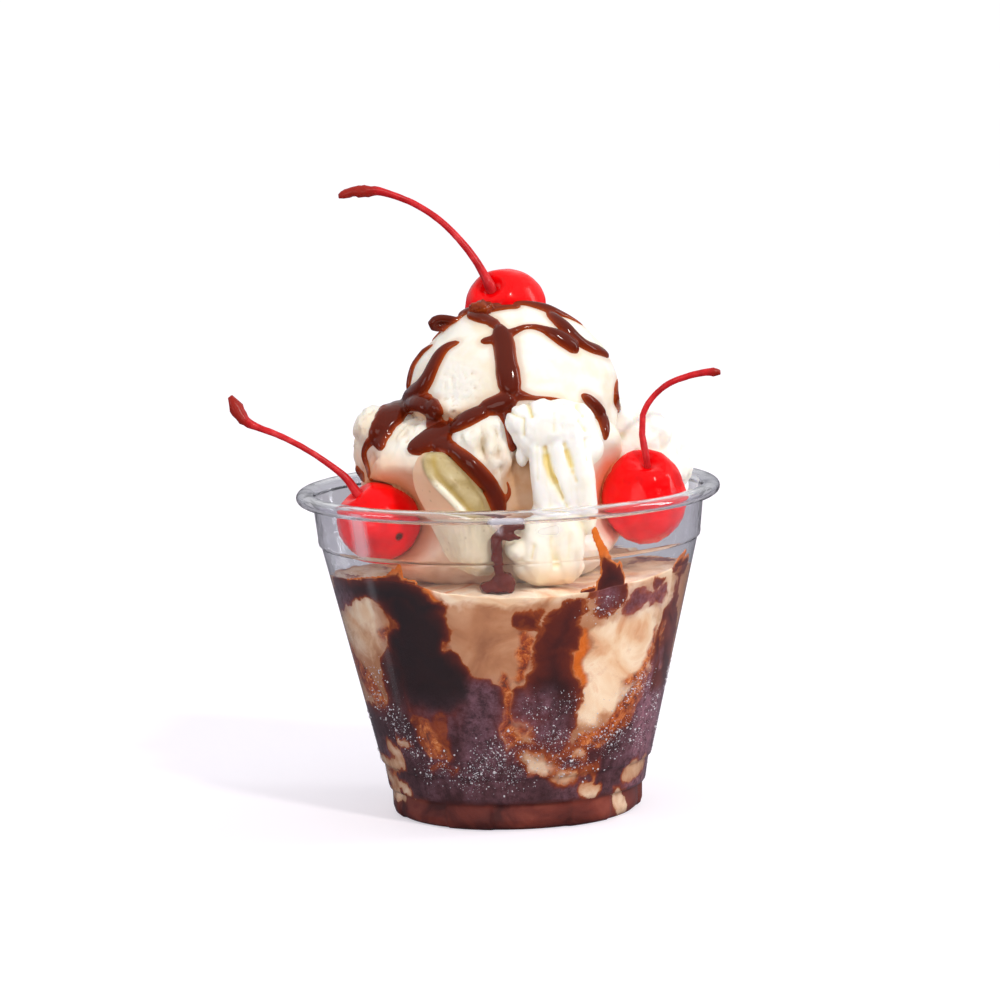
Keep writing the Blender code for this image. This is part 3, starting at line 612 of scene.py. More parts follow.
tan = add_node(tree, "ShaderNodeValToRGB", {"Fac": clouds}, stops=[
    (0.32, linear("#a87250")), (0.5, linear("#c28c64")), (0.66, linear("#d4a580"))])
cream = add_node(tree, "ShaderNodeValToRGB", {"Fac": clouds}, stops=[
    (0.32, linear("#dca67c")), (0.46, linear("#ebcba6")), (0.62, linear("#f7e6cc")),
    (0.74, linear("#e2b58c"))])
pale_share = add_node(tree, "ShaderNodeMapRange", {"Value": stirred(stored["pale"], 1.3),
                                                   "From Min": 0.2, "From Max": 0.75})
rust_share = add_node(tree, "ShaderNodeMapRange", {"Value": stirred(stored["rust"], 1.5),
                                                   "From Min": 0.15, "From Max": 0.85,
                                                   "To Max": 0.92})
flecks = add_node(tree, "ShaderNodeTexNoise", {"Vector": place, "Scale": 420.0, "Detail": 6.0,
                                              "Roughness": 0.75, "Distortion": 0.6}).outputs["Fac"]
rust = add_node(tree, "ShaderNodeValToRGB", {"Fac": flecks}, stops=[
    (0.36, linear("#4a1610")), (0.46, linear("#983810")), (0.54, linear("#c8641e")),
    (0.66, linear("#eeaa68"))])
edge_share = add_node(tree, "ShaderNodeMapRange", {"Value": stirred(stored["syrup"], 3.4),
                                                   "From Min": -2.0, "From Max": 8.0})
stain = add_node(tree, "ShaderNodeValToRGB", {"Fac": edge_share.outputs["Result"]}, stops=[
    (0.155, linear("#c27a48")), (0.19, linear("#a04a18")), (0.25, linear("#6c2410")),
    (0.38, linear("#501810")), (0.55, linear("#3a1210")), (0.82, linear("#241012"))])
cover = add_node(tree, "ShaderNodeMapRange", {"Value": edge_share.outputs["Result"],
                                              "From Min": 0.15, "From Max": 0.19})
foot_tone = add_node(tree, "ShaderNodeValToRGB", {"Fac": clouds}, stops=[
    (0.35, linear("#4e1a12")), (0.55, linear("#7e3628")), (0.75, linear("#984c3a"))])
foot_dark = add_node(tree, "ShaderNodeMath", {0: stored["foot"], 1: cover.outputs["Result"]},
                     operation="MULTIPLY")
veil = add_node(tree, "ShaderNodeTexNoise", {"Vector": place, "Scale": 520.0, "Detail": 6.0,
                                            "Roughness": 0.8}).outputs["Fac"]
veil_share = add_node(tree, "ShaderNodeMapRange", {"Value": veil, "From Min": 0.40,
                                                   "From Max": 0.70, "To Min": 0.12,
                                                   "To Max": 0.72})
haze_share = add_node(tree, "ShaderNodeMath", {0: veil_share.outputs["Result"],
                                               1: stored["haze"]}, operation="MULTIPLY")
# Each layer covers the ones before it by its share
colour = tan.outputs["Color"]
for share, over in ((pale_share.outputs["Result"], cream.outputs["Color"]),
                    (rust_share.outputs["Result"], rust.outputs["Color"]),
                    (stored["glow"], linear("#e27610")),
                    (cover.outputs["Result"], stain.outputs["Color"]),
                    (foot_dark.outputs[0], foot_tone.outputs["Color"]),
                    (haze_share.outputs[0], linear("#a47280"))):
    colour = add_node(tree, "ShaderNodeMix", {0: share, 6: colour, 7: over},
                      data_type="RGBA").outputs[2]
grain = add_node(tree, "ShaderNodeBump", {"Height": fine, "Strength": 0.2, "Distance": 0.0003})
food = add_node(tree, "ShaderNodeBsdfPrincipled", {
    "Base Color": colour, "Roughness": 0.5, "Specular IOR Level": 0.25,
    "Subsurface Weight": 0.1, "Subsurface Radius": (1.0, 0.55, 0.4), "Subsurface Scale": 0.001,
    "Normal": grain.outputs["Normal"]})
tree.links.new(food.outputs[0], surface)
finish_piece(filling, marble, "melted_ice_cream", "ice_cream_filling", "fudge_layer")

# %% [markdown]
# Above the filling a little syrup clings to the wall alone. Each patch is a thin skin just inside
# the PET, cut where its stroke ends, and its thin upper tip shows orange.

# %% Patches of syrup on the wall
PATCH_TURN = 0.34
PATCH_RISE = 0.24


def wall_patch(name, turns, heights, strokes, tip):
    """A skin of syrup inside the wall between two angles; it glows above the height tip."""
    columns = np.arange(*turns, PATCH_TURN)
    levels = np.arange(*heights, PATCH_RISE)
    turn, height = (grid.ravel() for grid in np.meshgrid(columns, levels))
    wave = bumps(np.stack([turn * 0.7, height, height * 0], 1), 2.4, 3.0, 2)
    depth = deepest(turn + 0.5 * wave, height, strokes)
    depth = np.minimum(depth, height - np.interp(turn, *zip(*EDGE)) + 0.8)
    wide = len(columns)
    first = np.arange(len(turn)).reshape(len(levels), wide)[:-1, :-1].ravel()
    cells = np.stack([first, first + 1, first + wide + 1, first + wide], 1)
    cells = cells[(depth[cells] > 0).all(1)]
    used, where = np.unique(cells, return_inverse=True)
    cells = where.reshape(-1, 4)
    turn, height, depth = turn[used], height[used], depth[used]
    outer = wall_radius(height) - WALL / 2 + 0.02
    inner = outer - 0.15 - 0.5 * smoothstep(0.0, 1.6, depth)
    places = [(r * math.sin(math.radians(a)), -r * math.cos(math.radians(a)), z)
              for radius in (outer, inner) for r, a, z in zip(radius, turn, height)]
    count = len(used)
    faces = cells.tolist() + (cells[:, ::-1] + count).tolist()
    sides = {(int(a), int(b)) for cell in cells for a, b in zip(cell, np.roll(cell, -1))}
    faces += [(b, a, a + count, b + count) for a, b in sorted(sides) if (b, a) not in sides]
    patch = mesh_object(name, places, faces)
    glow = np.tile(np.maximum(smoothstep(tip - 4.5, tip + 3.5, height),
                              0.85 * smoothstep(0.8, 0.1, depth)), 2)
    set_value(patch, "syrup", np.tile(depth * 0.9 + 0.4, 2) - 3.0 * glow)
    set_value(patch, "rust", glow)
    set_value(patch, "glow", 0.85 * glow)
    finish_piece(patch, marble, "melted_ice_cream")


wall_patch("syrup_drip", (22, 42), (50.5, 67.5), named(SYRUP, "drip", "streak"), 59.8)
wall_patch("syrup_peak", (-64, -26), (53.0, 60.5), PEAK, 57.5)
wall_patch("syrup_run", (60, 78), (53.0, 59.5), named(SYRUP, "right_run"), 57.0)

# %% [markdown]
# Soft food has no flat side and no sharp edge, so each soft piece starts as a few overlapping
# balls. They are joined into one skin of even faces, and noise then moves its points. It could be
# sculpted by hand as well, but balls given by numbers are easy to move until they fit the photo.

# %% Balls and ways to move their points
def ball(centre, radii, detail=5, fullness=2.0, lean=0.0, floor=None):
    """A rounded ball with places in mm."""
    bm = bmesh.new()
    bmesh.ops.create_icosphere(bm, subdivisions=detail, radius=1.0)
    ways = np.array([v.co.normalized()[:] for v in bm.verts])
    total = (np.abs(ways) ** fullness).sum(1) ** (1 / fullness)
    places = ways * np.array(radii) / total[:, None]
    turn_to = np.array(Matrix.Rotation(math.radians(lean), 3, "Y"))
    places = places @ turn_to.T + np.array(centre)
    if floor is not None:
        places[:, 2] = places[:, 2].clip(floor)
    faces = [[v.index for v in f.verts] for f in bm.faces]
    bm.free()
    return mesh_object("ball", places, faces)


def shift_along_normals(thing, amount):
    """Moves each point out along its normal by an amount in mm."""
    places, normals = points_of(thing)
    set_points(thing, places + normals * np.asarray(amount)[:, None])


def inside_cup(thing, clearance=0.35):
    """Draws in what would reach the cup's wall."""
    places, _ = points_of(thing)
    radius = np.hypot(places[:, 0], places[:, 1])
    most = wall_radius(places[:, 2]) - WALL / 2 - clearance
    most = np.where(places[:, 2] > CUP_HEIGHT + 1, 1e3, most)
    places[:, :2] *= np.minimum(1, most / radius.clip(1))[:, None]
    set_points(thing, places)


def pushed_clear(thing, centre, radii, toward):
    """Moves whatever lies inside a cherry along one direction until it is outside."""
    places, _ = points_of(thing)
    way = np.array(toward, float)
    way /= np.linalg.norm(way)
    scaled = (places - centre) / (np.array(radii) + 0.3)
    step = way / (np.array(radii) + 0.3)
    a = (step ** 2).sum()
    b = scaled @ step
    c = (scaled ** 2).sum(1) - 1
    travel = (-b + np.sqrt(np.maximum(b * b - a * c, 0))) / a
    places += np.where(c < 0, travel, 0)[:, None] * way
    set_points(thing, places)


print("soft shapes ready")

# %% [markdown]
# The two lower cherries sit in hollows of the ice cream. What would hide a cherry's side from the
# front moves back to just behind its edge, and the points round it are smoothed a few times.

# %% Room for the cherries
# Centre and half sizes of each cherry in mm
CHERRY_CENTRES = {"top": (0.8, 5.0, 109.6), "left": (-27.8, -13.6, 65.9),
                  "right": (29.2, -9.0, 68.8)}
CHERRY_RADII = {"top": (8.8, 8.6, 8.2), "left": (8.9, 8.4, 8.2), "right": (9.1, 8.8, 10.0)}
# How steeply the line of sight falls towards the cup
SIGHT_SLOPE = 0.13


def tucked_behind(thing, who):
    """Moves back what would hide a cherry's side from the front, with a soft hollow round it."""
    centre, radii = np.array(CHERRY_CENTRES[who]), np.array(CHERRY_RADII[who])
    for rounds in (10, 4, 0):
        places, _ = points_of(thing)
        drop = (places[:, 1] - centre[1]) * SIGHT_SLOPE
        away = np.hypot((places[:, 0] - centre[0]) / radii[0],
                        (places[:, 2] + drop - centre[2]) / radii[2])
        front = centre[1] - radii[1] * np.sqrt(np.maximum(1 - away ** 2, 0)) + 0.8
        most = front - np.maximum(away - 1, 0) * 2.0 * radii[1]
        places[:, 1] = np.maximum(places[:, 1], most)
        set_points(thing, places)
        bm = bmesh.new()
        bm.from_mesh(thing.data)
        bm.verts.ensure_lookup_table()
        near = [bm.verts[i] for i in np.flatnonzero((away < 1.7) & (places[:, 1] < most + 3.0))]
        for _ in range(rounds):
            bmesh.ops.smooth_vert(bm, verts=near, factor=0.5, use_axis_x=True, use_axis_y=True,
                                  use_axis_z=True)
        bm.to_mesh(thing.data)
        bm.free()


print("cherries at", list(CHERRY_CENTRES.values()))

# %% [markdown]
# The scoops are soft vanilla ice cream. The upper one is nearly a ball, with a lip on the left
# where the scoop's edge let go of it. The lower one is broad, with a chunk that stands up on the
# left. Only broad dents are made now, and the torn grain comes after the syrup.

# %% Scoop the ice cream
top_scoop = merged("vanilla_top_scoop", [
    ball((1.7, 0.0, 88.2), (22.9, 22.6, 22.7), floor=82.0),
    ball((-8.0, -14.5, 90.2), (8.0, 6.0, 3.2), 4),
    ball((-13.0, -8.0, 89.5), (7.0, 8.0, 3.6), 4)], 0.5)
places, _ = points_of(top_scoop)
lobe = smoothstep(2.4, 5.0, places[:, 0]) * smoothstep(88.6, 91.5, places[:, 2])
shift_along_normals(top_scoop, 0.45 * bumps(places, 9.0, 0.0, 1) + 0.18 * bumps(places, 4.0, 3.0)
                    + 0.5 * lobe * (places[:, 1] < 0))

lower_scoop = merged("vanilla_lower_scoop", [
    ball((-3.0, 1.0, 70.0), (28.3, 25.8, 20.0), fullness=2.8, floor=52.0),
    ball((-22.5, -1.0, 81.0), (10.0, 11.0, 8.4), 4),
    ball((-27.6, -4.0, 84.6), (4.8, 6.0, 4.8), 4),
    ball((-28.2, -2.0, 78.6), (4.6, 6.0, 4.8), 4),
    ball((-4.5, -20.5, 80.0), (7.5, 6.0, 10.5), 4),
    ball((-5.5, -22.0, 84.0), (5.0, 4.0, 4.2), 4),
    ball((16.0, -10.0, 79.0), (9.0, 10.0, 9.6), 4)], 0.5)
places, _ = points_of(lower_scoop)
shift_along_normals(lower_scoop, 0.6 * bumps(places, 9.0, 0.0, 2) + 0.2 * bumps(places, 3.6, 5.0))
pushed_clear(lower_scoop, CHERRY_CENTRES["left"], CHERRY_RADII["left"], (1.0, 0.9, 0.15))
pushed_clear(lower_scoop, CHERRY_CENTRES["right"], CHERRY_RADII["right"], (-1.0, 0.6, 0.1))
tucked_behind(lower_scoop, "left")
tucked_behind(lower_scoop, "right")
tucked_behind(top_scoop, "right")
inside_cup(lower_scoop, 1.0)
print("faces in the scoops:", len(top_scoop.data.polygons), len(lower_scoop.data.polygons))

# %% [markdown]
# Vanilla ice cream is a warm white that light enters a few millimetres deep, so it gets a strong
# subsurface share. Hollows between crumbs are more yellow, and darker as painted shade. Syrup from the
# cherries has run into the ice cream near them and dyes it orange red, and a tan tint marks melted
# chocolate in some places and paints shade in others.

# %% Ice cream and whipped cream materials
def dairy(name, light, hollow, warm_spots, stain_reach, grain_size, gloss):
    """Soft dairy food; stain_reach gives how far in mm cherry dye runs past each cherry."""
    material, tree, surface = new_material(name)
    place = add_node(tree, "ShaderNodeTexCoord").outputs["Object"]
    broad = add_node(tree, "ShaderNodeTexNoise", {"Vector": place, "Scale": 110.0, "Detail": 4.0})
    grain = add_node(tree, "ShaderNodeTexNoise", {"Vector": place, "Scale": 1000 / grain_size,
                                                 "Detail": 5.0, "Roughness": 0.65})
    colour = add_node(tree, "ShaderNodeValToRGB", {"Fac": broad.outputs["Fac"]}, stops=[
        (0.35, linear(warm_spots)), (0.52, linear(light))]).outputs["Color"]
    torn = add_node(tree, "ShaderNodeAttribute", attribute_name="torn").outputs["Fac"]
    # Creases are mixed towards the hollow colour: a yellower tone and painted shade in the creases
    pointiness_for_shade = add_node(tree, "ShaderNodeNewGeometry").outputs["Pointiness"]
    deep = add_node(tree, "ShaderNodeMapRange", {"Value": pointiness_for_shade, "From Min": 0.49,
                                                 "From Max": 0.40, "To Max": 0.9})
    colour = add_node(tree, "ShaderNodeMix", {0: deep.outputs["Result"], 6: colour,
                                              7: linear(hollow)}, data_type="RGBA").outputs[2]
    for who, reach in stain_reach.items():
        centre = [c * MM for c in CHERRY_CENTRES[who]]
        away = add_node(tree, "ShaderNodeVectorMath", {0: place, 1: centre},
                        operation="DISTANCE").outputs["Value"]
        wavy = add_node(tree, "ShaderNodeMath", {0: broad.outputs["Fac"], 1: -0.008, 2: away},
                        operation="MULTIPLY_ADD").outputs[0]
        size = sum(CHERRY_RADII[who]) / 3
        dye = add_node(tree, "ShaderNodeMapRange", {
            "Value": wavy, "From Min": (size + reach - 4) * MM, "From Max": (size - 4.6) * MM,
            "To Max": 0.88}, interpolation_type="SMOOTHSTEP").outputs["Result"]
        colour = add_node(tree, "ShaderNodeMix", {0: dye, 6: colour, 7: linear("#fb7440")},
                          data_type="RGBA").outputs[2]
    # The stored tan mark is melted chocolate in some places and painted shade in others
    melt_and_shade = add_node(tree, "ShaderNodeAttribute", attribute_name="melt_and_shade").outputs["Fac"]
    patchy = add_node(tree, "ShaderNodeMapRange", {"Value": broad.outputs["Fac"],
                                                   "From Min": 0.3, "From Max": 0.6,
                                                   "To Min": 0.55, "To Max": 1.0})
    tint = add_node(tree, "ShaderNodeMath", {0: melt_and_shade, 1: patchy.outputs["Result"]},
                    operation="MULTIPLY")
    colour = add_node(tree, "ShaderNodeMix", {0: tint.outputs[0], 6: colour,
                                              7: linear("#cc9a6c")}, data_type="RGBA").outputs[2]
    # The fold mark turns folds yellow: a yellower cream tone with painted shade in the fold
    fold = add_node(tree, "ShaderNodeAttribute", attribute_name="fold").outputs["Fac"]
    colour = add_node(tree, "ShaderNodeMix", {0: fold, 6: colour, 7: linear("#f5de80")},
                      data_type="RGBA").outputs[2]
    rough_bump = add_node(tree, "ShaderNodeMapRange", {"Value": torn, "To Min": 0.12,
                                                       "To Max": 0.6})
    bump = add_node(tree, "ShaderNodeBump", {"Height": grain.outputs["Fac"],
                                             "Strength": rough_bump.outputs["Result"],
                                             "Distance": 0.0005})
    sheen = add_node(tree, "ShaderNodeMapRange", {"Value": grain.outputs["Fac"],
                                                  "To Min": gloss - 0.08, "To Max": gloss + 0.2})
    body = add_node(tree, "ShaderNodeBsdfPrincipled", {
        "Base Color": colour, "Roughness": sheen.outputs["Result"], "IOR": 1.36,
        "Subsurface Weight": 0.35, "Subsurface Radius": (1.0, 0.75, 0.5),
        "Subsurface Scale": 0.0025, "Normal": bump.outputs["Normal"]})
    tree.links.new(body.outputs[0], surface)
    return material


# The second colour of each is the hollow colour, which paints shade and a yellower tone into creases
vanilla = dairy("vanilla_ice_cream", "#faf5ea", "#c2a97a", "#f6ead4",
                {"left": 9.0, "right": 5.5}, 1.1, 0.38)
whipped = dairy("whipped_cream", "#fffdf6", "#efe2b4", "#fdf8ea", {}, 1.6, 0.42)

# %% [markdown]
# Whipped cream was piped at the front and falls from a ruffled head in upright ribs, with deep
# yellowish folds between them. Each rib is a tall ball. Each fold is a line along which the skin is
# pressed in and gets a mark that the shader turns yellow, a yellower tone with painted shade in the
# fold. Low in the cup the cream is painted yellower as painted shade.

# %% Whipped cream
def from_line(places, line):
    """Distance in the picture's plane from each place to a line of (x, z) points."""
    best = np.full(len(places), 99.0)
    for (x0, z0), (x1, z1) in zip(line, line[1:]):
        dx, dz = places[:, 0] - x0, places[:, 2] - z0
        ex, ez = x1 - x0, z1 - z0
        share = np.clip((dx * ex + dz * ez) / (ex * ex + ez * ez), 0, 1)
        best = np.minimum(best, np.hypot(dx - share * ex, dz - share * ez))
    return best


front_cream = merged("whipped_cream_front", [
    ball((9.5, -24.5, 86.0), (8.4, 6.4, 6.2), 4, fullness=2.4),
    ball((2.8, -25.8, 88.0), (2.9, 3.0, 3.4), 4, lean=24),
    ball((4.6, -26.5, 84.4), (2.4, 3.0, 4.0), 4),
    ball((15.0, -24.0, 86.0), (4.0, 5.0, 5.4), 4),
    ball((17.6, -24.6, 81.6), (2.9, 3.8, 3.4), 4),
    ball((3.2, -25.5, 80.6), (1.3, 2.0, 2.4), 3),
    ball((11.6, -25.4, 76.0), (6.5, 5.4, 15.0), 4, fullness=2.8),
    ball((6.9, -28.4, 75.5), (2.0, 2.9, 11.6), 4, lean=-6),
    ball((11.4, -28.8, 76.0), (2.4, 2.9, 11.0), 4, lean=-4),
    ball((16.0, -28.0, 74.5), (2.6, 3.2, 11.0), 4, lean=-5),
    ball((1.9, -27.5, 61.2), (3.1, 4.0, 2.9), 4),
    ball((6.4, -28.3, 61.5), (4.4, 4.4, 8.0), 4),
    ball((12.0, -27.9, 62.5), (3.8, 4.4, 9.0), 4),
    ball((9.6, -27.0, 64.5), (5.8, 4.8, 9.0), 4),
    ball((8.0, -26.4, 57.2), (7.6, 4.8, 4.2), 4, floor=53.0)], 0.38)
places, _ = points_of(front_cream)
_, y, z = places.T
# (points along the fold as x and z, half width, depth, how yellow it is, a tone with painted shade) in
# mm
FOLDS = [([(8.0, 82.6), (8.2, 81.0)], 0.5, 1.0, 0.5),
         ([(8.2, 81.0), (8.5, 79.0), (9.0, 77.0), (9.8, 75.2)], 0.62, 1.3, 0.9),
         ([(9.8, 75.2), (10.8, 73.0), (11.4, 71.8)], 0.6, 1.0, 0.6),
         ([(11.4, 71.8), (12.4, 70.2)], 0.45, 0.6, 0.3),
         ([(12.2, 83.4), (12.6, 82.0)], 0.4, 0.8, 0.4),
         ([(12.6, 82.0), (13.2, 80.2), (13.6, 78.6)], 0.5, 1.1, 0.8),
         ([(13.6, 78.6), (13.8, 77.2)], 0.4, 0.8, 0.4), ([(13.8, 77.2), (14.4, 75.4)], 0.3, 0.4, 0.15),
         ([(15.1, 91.0), (16.4, 89.0)], 0.4, 0.6, 0.2), ([(15.4, 88.0), (16.8, 85.6)], 0.4, 0.5, 0.15),
         ([(0.8, 90.2), (3.6, 88.9), (3.5, 85.4)], 0.4, 0.7, 0.2),
         ([(4.9, 91.2), (5.3, 89.6)], 0.5, 0.9, 0.5), ([(16.6, 84.0), (17.0, 79.8)], 0.4, 0.6, 0.1),
         ([(9.0, 66.0), (8.9, 62.0), (9.6, 58.0)], 0.7, 0.7, 0.35),
         ([(4.8, 62.0), (4.2, 59.6)], 0.7, 0.7, 0.4), ([(12.6, 64.0), (12.2, 59.0)], 0.8, 0.4, 0.35),
         ([(10.2, 90.0), (10.0, 86.0)], 0.4, 0.25, 0.1), ([(6.4, 83.0), (6.2, 76.0)], 0.4, 0.3, 0.1)]
fold, yellow_and_fold_shade = np.zeros(len(places)), np.zeros(len(places))
for line, wide, deep, tone in FOLDS:
    near_fold = np.exp(-(from_line(places, line) / wide) ** 2)
    fold = np.maximum(fold, deep * near_fold)
    yellow_and_fold_shade = np.maximum(yellow_and_fold_shade, tone * near_fold)
fold *= smoothstep(-22, -25, y)
ruffle = 0.35 * bumps(places, 2.6, 3.0, 2) + 0.2 * bumps(places * (1, 1, 0.3), 1.5, 5.0, 2)
ruffle *= 0.45 + 0.55 * smoothstep(80, 85, z)
shift_along_normals(front_cream, ruffle - fold)
set_value(front_cream, "torn", 0.15 + 0.3 * smoothstep(84, 88, z))
# Below 70 mm the cream is painted yellower, as painted shade low in the cup
set_value(front_cream, "fold", np.maximum(yellow_and_fold_shade, 0.26 * smoothstep(70, 66, z)))
set_value(front_cream, "melt_and_shade", 0.55 * smoothstep(59.5, 54.5, z))
inside_cup(front_cream, 0.8)
finish_piece(front_cream, whipped, "whipped_cream", "front_whipped_cream")

# %% [markdown]
# A second mound of cream stands behind the right cherry. Only its edge shows in the photo, so it
# is a plain lumpy mound, pushed clear of the cherry and of the wall.

# %% Whipped cream behind the right cherry
back_cream = merged("whipped_cream_back", [
    ball((25.0, 10.0, 72.6), (14.6, 13.0, 14.6), 5, fullness=2.2, floor=52.6),
    ball((29.5, 4.0, 80.5), (6.5, 6.5, 6.0), 4), ball((34.5, 6.0, 73.0), (5.6, 6.5, 5.0), 4),
    ball((24.5, 4.0, 84.0), (5.0, 6.0, 4.6), 4)], 0.5)
places, _ = points_of(back_cream)
ruffle = 0.9 * bumps(places, 5.0, 1.0, 2) + 0.45 * bumps(places, 2.2, 5.0, 2)
shift_along_normals(back_cream, ruffle)
set_value(back_cream, "torn", np.full(len(places), 0.35))
pushed_clear(back_cream, CHERRY_CENTRES["right"], CHERRY_RADII["right"], (-0.3, 1.0, 0.1))
inside_cup(back_cream, 0.8)
finish_piece(back_cream, whipped, "whipped_cream_back", "back_whipped_cream")

# %% [markdown]
# The banana is a peeled piece that leans against the scoop and reaches down to the filling. It is pale
# yellow and a little translucent, with a whiter ridge, and melted ice cream stains it peach left of
# that ridge. A darker groove beside the ridge is painted shade, and the flesh low in the cup is
# painted lighter because the syrup shades the part above. Its shape is lofted through cross-sections,
# because a lean, flat-sided piece is easier to give by its edges.

# %% Banana
# (height, left edge, ridge, right edge, depth) in mm from the top down
BANANA_ROWS = [(81.8, -17.6, -16.4, -13.4, 1.6), (80.8, -18.9, -17.2, -12.2, 4.0),
               (79.4, -19.6, -17.0, -10.8, 5.8), (77.8, -20.2, -16.4, -9.0, 7.0),
               (76.0, -20.2, -15.2, -7.4, 7.6), (74.0, -19.8, -13.3, -5.8, 7.8),
               (72.0, -19.0, -11.5, -4.8, 7.8), (70.0, -18.0, -9.8, -3.8, 7.8),
               (68.0, -17.0, -8.6, -3.2, 7.6), (66.0, -16.2, -8.0, -2.9, 7.4),
               (63.0, -15.2, -7.6, -2.7, 7.2), (60.0, -13.8, -7.4, -2.7, 6.8),
               (58.0, -12.2, -7.2, -2.9, 6.0), (56.6, -9.8, -6.4, -3.5, 4.6),
               (55.8, -7.8, -6.0, -4.4, 2.4)]
around = 48
points = []
for z, left, ridge, right, depth in BANANA_ROWS:
    crest = (ridge - left) / (right - left)
    keen = smoothstep(66, 72, z)
    across = [0, crest * 0.5, crest, crest + 0.06, 0.72, 0.92, 1.0]
    front = [0.1, 0.62 + 0.1 * (1 - keen), 1.0, 0.9 + 0.1 * (1 - keen), 0.94, 0.66, 0.1]
    for k in range(around):
        turn_share = k / around * 2
        if turn_share < 1:
            u = (1 - math.cos(math.pi * turn_share)) / 2
            out = float(np.interp(u, across, front))
        else:
            u = (1 + math.cos(math.pi * (turn_share - 1))) / 2
            out = -0.7 * math.sin(math.pi * (turn_share - 1))
        points.append((left + (right - left) * u, -25.0 - depth * out * 0.95, z))
faces = ring_faces(len(BANANA_ROWS), around) + end_faces(len(BANANA_ROWS), around)
banana = merged("banana", [mesh_object("loft", points, faces)], 0.35, smooth=8)
places, _ = points_of(banana)
ridge_line = [(row[2], row[0]) for row in BANANA_ROWS[1:9]]
by_ridge = from_line(places, ridge_line)
beside = from_line(places, [(x + 1.7, z) for x, z in ridge_line])
front_side = smoothstep(-27, -30, places[:, 1])
streaks = bumps(places * (1, 1, 0.12), 1.6, 4.0, 2) * smoothstep(70, 66, places[:, 2])
shift_along_normals(banana, 0.2 * bumps(places, 6.0, 2.0, 2) + 0.3 * streaks
                    + front_side * (0.4 * np.exp(-(by_ridge / 0.7) ** 2)
                                    - 0.3 * np.exp(-(beside / 0.6) ** 2)))
ridge_line_share = smoothstep(0.95, 0.4, by_ridge) * smoothstep(77.6, 75.0, places[:, 2])
# Below 69 mm the ridge mark also paints the flesh lighter, as painted light where the syrup above no
# longer shades it
set_value(banana, "ridge", np.maximum(ridge_line_share, 0.5 * smoothstep(69, 66, places[:, 2])))
# The groove mark is painted shade in the pressed-in groove beside the ridge
set_value(banana, "groove_shade", 0.7 * np.exp(-(beside / 0.7) ** 2) * smoothstep(66, 70, places[:, 2]))
left_face = np.interp(places[:, 2], [z for z, *_ in BANANA_ROWS[::-1]],
                      [row[2] for row in BANANA_ROWS[::-1]]) - places[:, 0]
set_value(banana, "stained", 0.9 * smoothstep(0.2, 1.6, left_face)
          * smoothstep(64, 70, places[:, 2]))
inside_cup(banana, 0.8)

print("cross-sections of the banana:", len(BANANA_ROWS))

# %% [markdown]
# Peeled banana is moist, so it has a soft gloss, and light enters it about two millimetres deep.
# Fibres make its colour a little uneven, and faint darker dots are its seeds. The stored marks lay the
# stain, the groove's painted shade and the ridge, with painted light low down, over that, one after
# the other.

# %% Banana material
fruit, tree, surface = new_material("banana_flesh")
place = add_node(tree, "ShaderNodeTexCoord").outputs["Object"]
fibre = add_node(tree, "ShaderNodeTexNoise", {"Vector": place, "Scale": 260.0, "Detail": 4.0,
                                             "Distortion": 0.6})
flesh = add_node(tree, "ShaderNodeValToRGB", {"Fac": fibre.outputs["Fac"]}, stops=[
    (0.34, linear("#a58f5c")), (0.5, linear("#b9a475")), (0.7, linear("#c8b78c"))])
flesh = flesh.outputs["Color"]
# The groove tint paints shade; the ridge tint is a whiter ridge and, low down, painted light
for mark, tint in (("stained", "#f2c6a4"), ("groove_shade", "#b59640"), ("ridge", "#f7efd8")):
    share = add_node(tree, "ShaderNodeAttribute", attribute_name=mark).outputs["Fac"]
    flesh = add_node(tree, "ShaderNodeMix", {0: share, 6: flesh, 7: linear(tint)},
                     data_type="RGBA").outputs[2]
seeds = add_node(tree, "ShaderNodeTexVoronoi", {"Vector": place, "Scale": 420.0})
dots = add_node(tree, "ShaderNodeMapRange", {"Value": seeds.outputs["Distance"],
                                             "From Min": 0.16, "From Max": 0.08, "To Max": 0.25})
flesh = add_node(tree, "ShaderNodeMix", {0: dots.outputs["Result"], 6: flesh,
                                         7: linear("#8a6a3a")}, data_type="RGBA")
soft = add_node(tree, "ShaderNodeBump", {"Height": fibre.outputs["Fac"], "Strength": 0.2,
                                         "Distance": 0.0004})
body = add_node(tree, "ShaderNodeBsdfPrincipled", {
    "Base Color": flesh.outputs[2], "Roughness": 0.38, "IOR": 1.38, "Subsurface Weight": 0.3,
    "Subsurface Radius": (1.0, 0.7, 0.35), "Subsurface Scale": 0.002,
    "Normal": soft.outputs["Normal"]})
tree.links.new(body.outputs[0], surface)
finish_piece(banana, fruit, "banana", "banana_piece")

# %% [markdown]
# The drizzle lies on the scoops. Each strand is drawn on a plane through the middle of the cup
# and carried back onto the ice cream along the line from the viewing point. Across its width it
# follows the surface and bulges to about a millimetre and a half, then all strands are joined
# into one skin so that crossings flow together.

# %% Lay the drizzle
# Where the camera stands, in mm
VIEW_POINT = Vector((-1.786, -1047.1, 204.6))


def surface_tree(things):
    """A search tree over the faces of some pieces, in mm."""
    places, faces = [], []
    for thing in things:
        start = len(places)
        places += [v.co / MM for v in thing.data.vertices]
        faces += [[start + i for i in f.vertices] for f in thing.data.polygons]
    return BVHTree.FromPolygons(places, faces)


def smooth_line(values, step=0.7):
    """A smooth line through rows of numbers, about one step apart in the first two columns."""
    rows = [np.array(v, float) for v in values]
    rows = [2 * rows[0] - rows[1]] + rows + [2 * rows[-1] - rows[-2]]
    found = []
    for a, b, c, d in zip(rows, rows[1:], rows[2:], rows[3:]):
        count = max(1, round(float(np.linalg.norm((c - b)[:2])) / step))
        for t in np.arange(count) / count:
            found.append(0.5 * (2 * b + (c - a) * t + (2 * a - 5 * b + 4 * c - d) * t * t
                                + (3 * b - a - 3 * c + d) * t ** 3))
    found.append(rows[-2])
    return np.array(found)


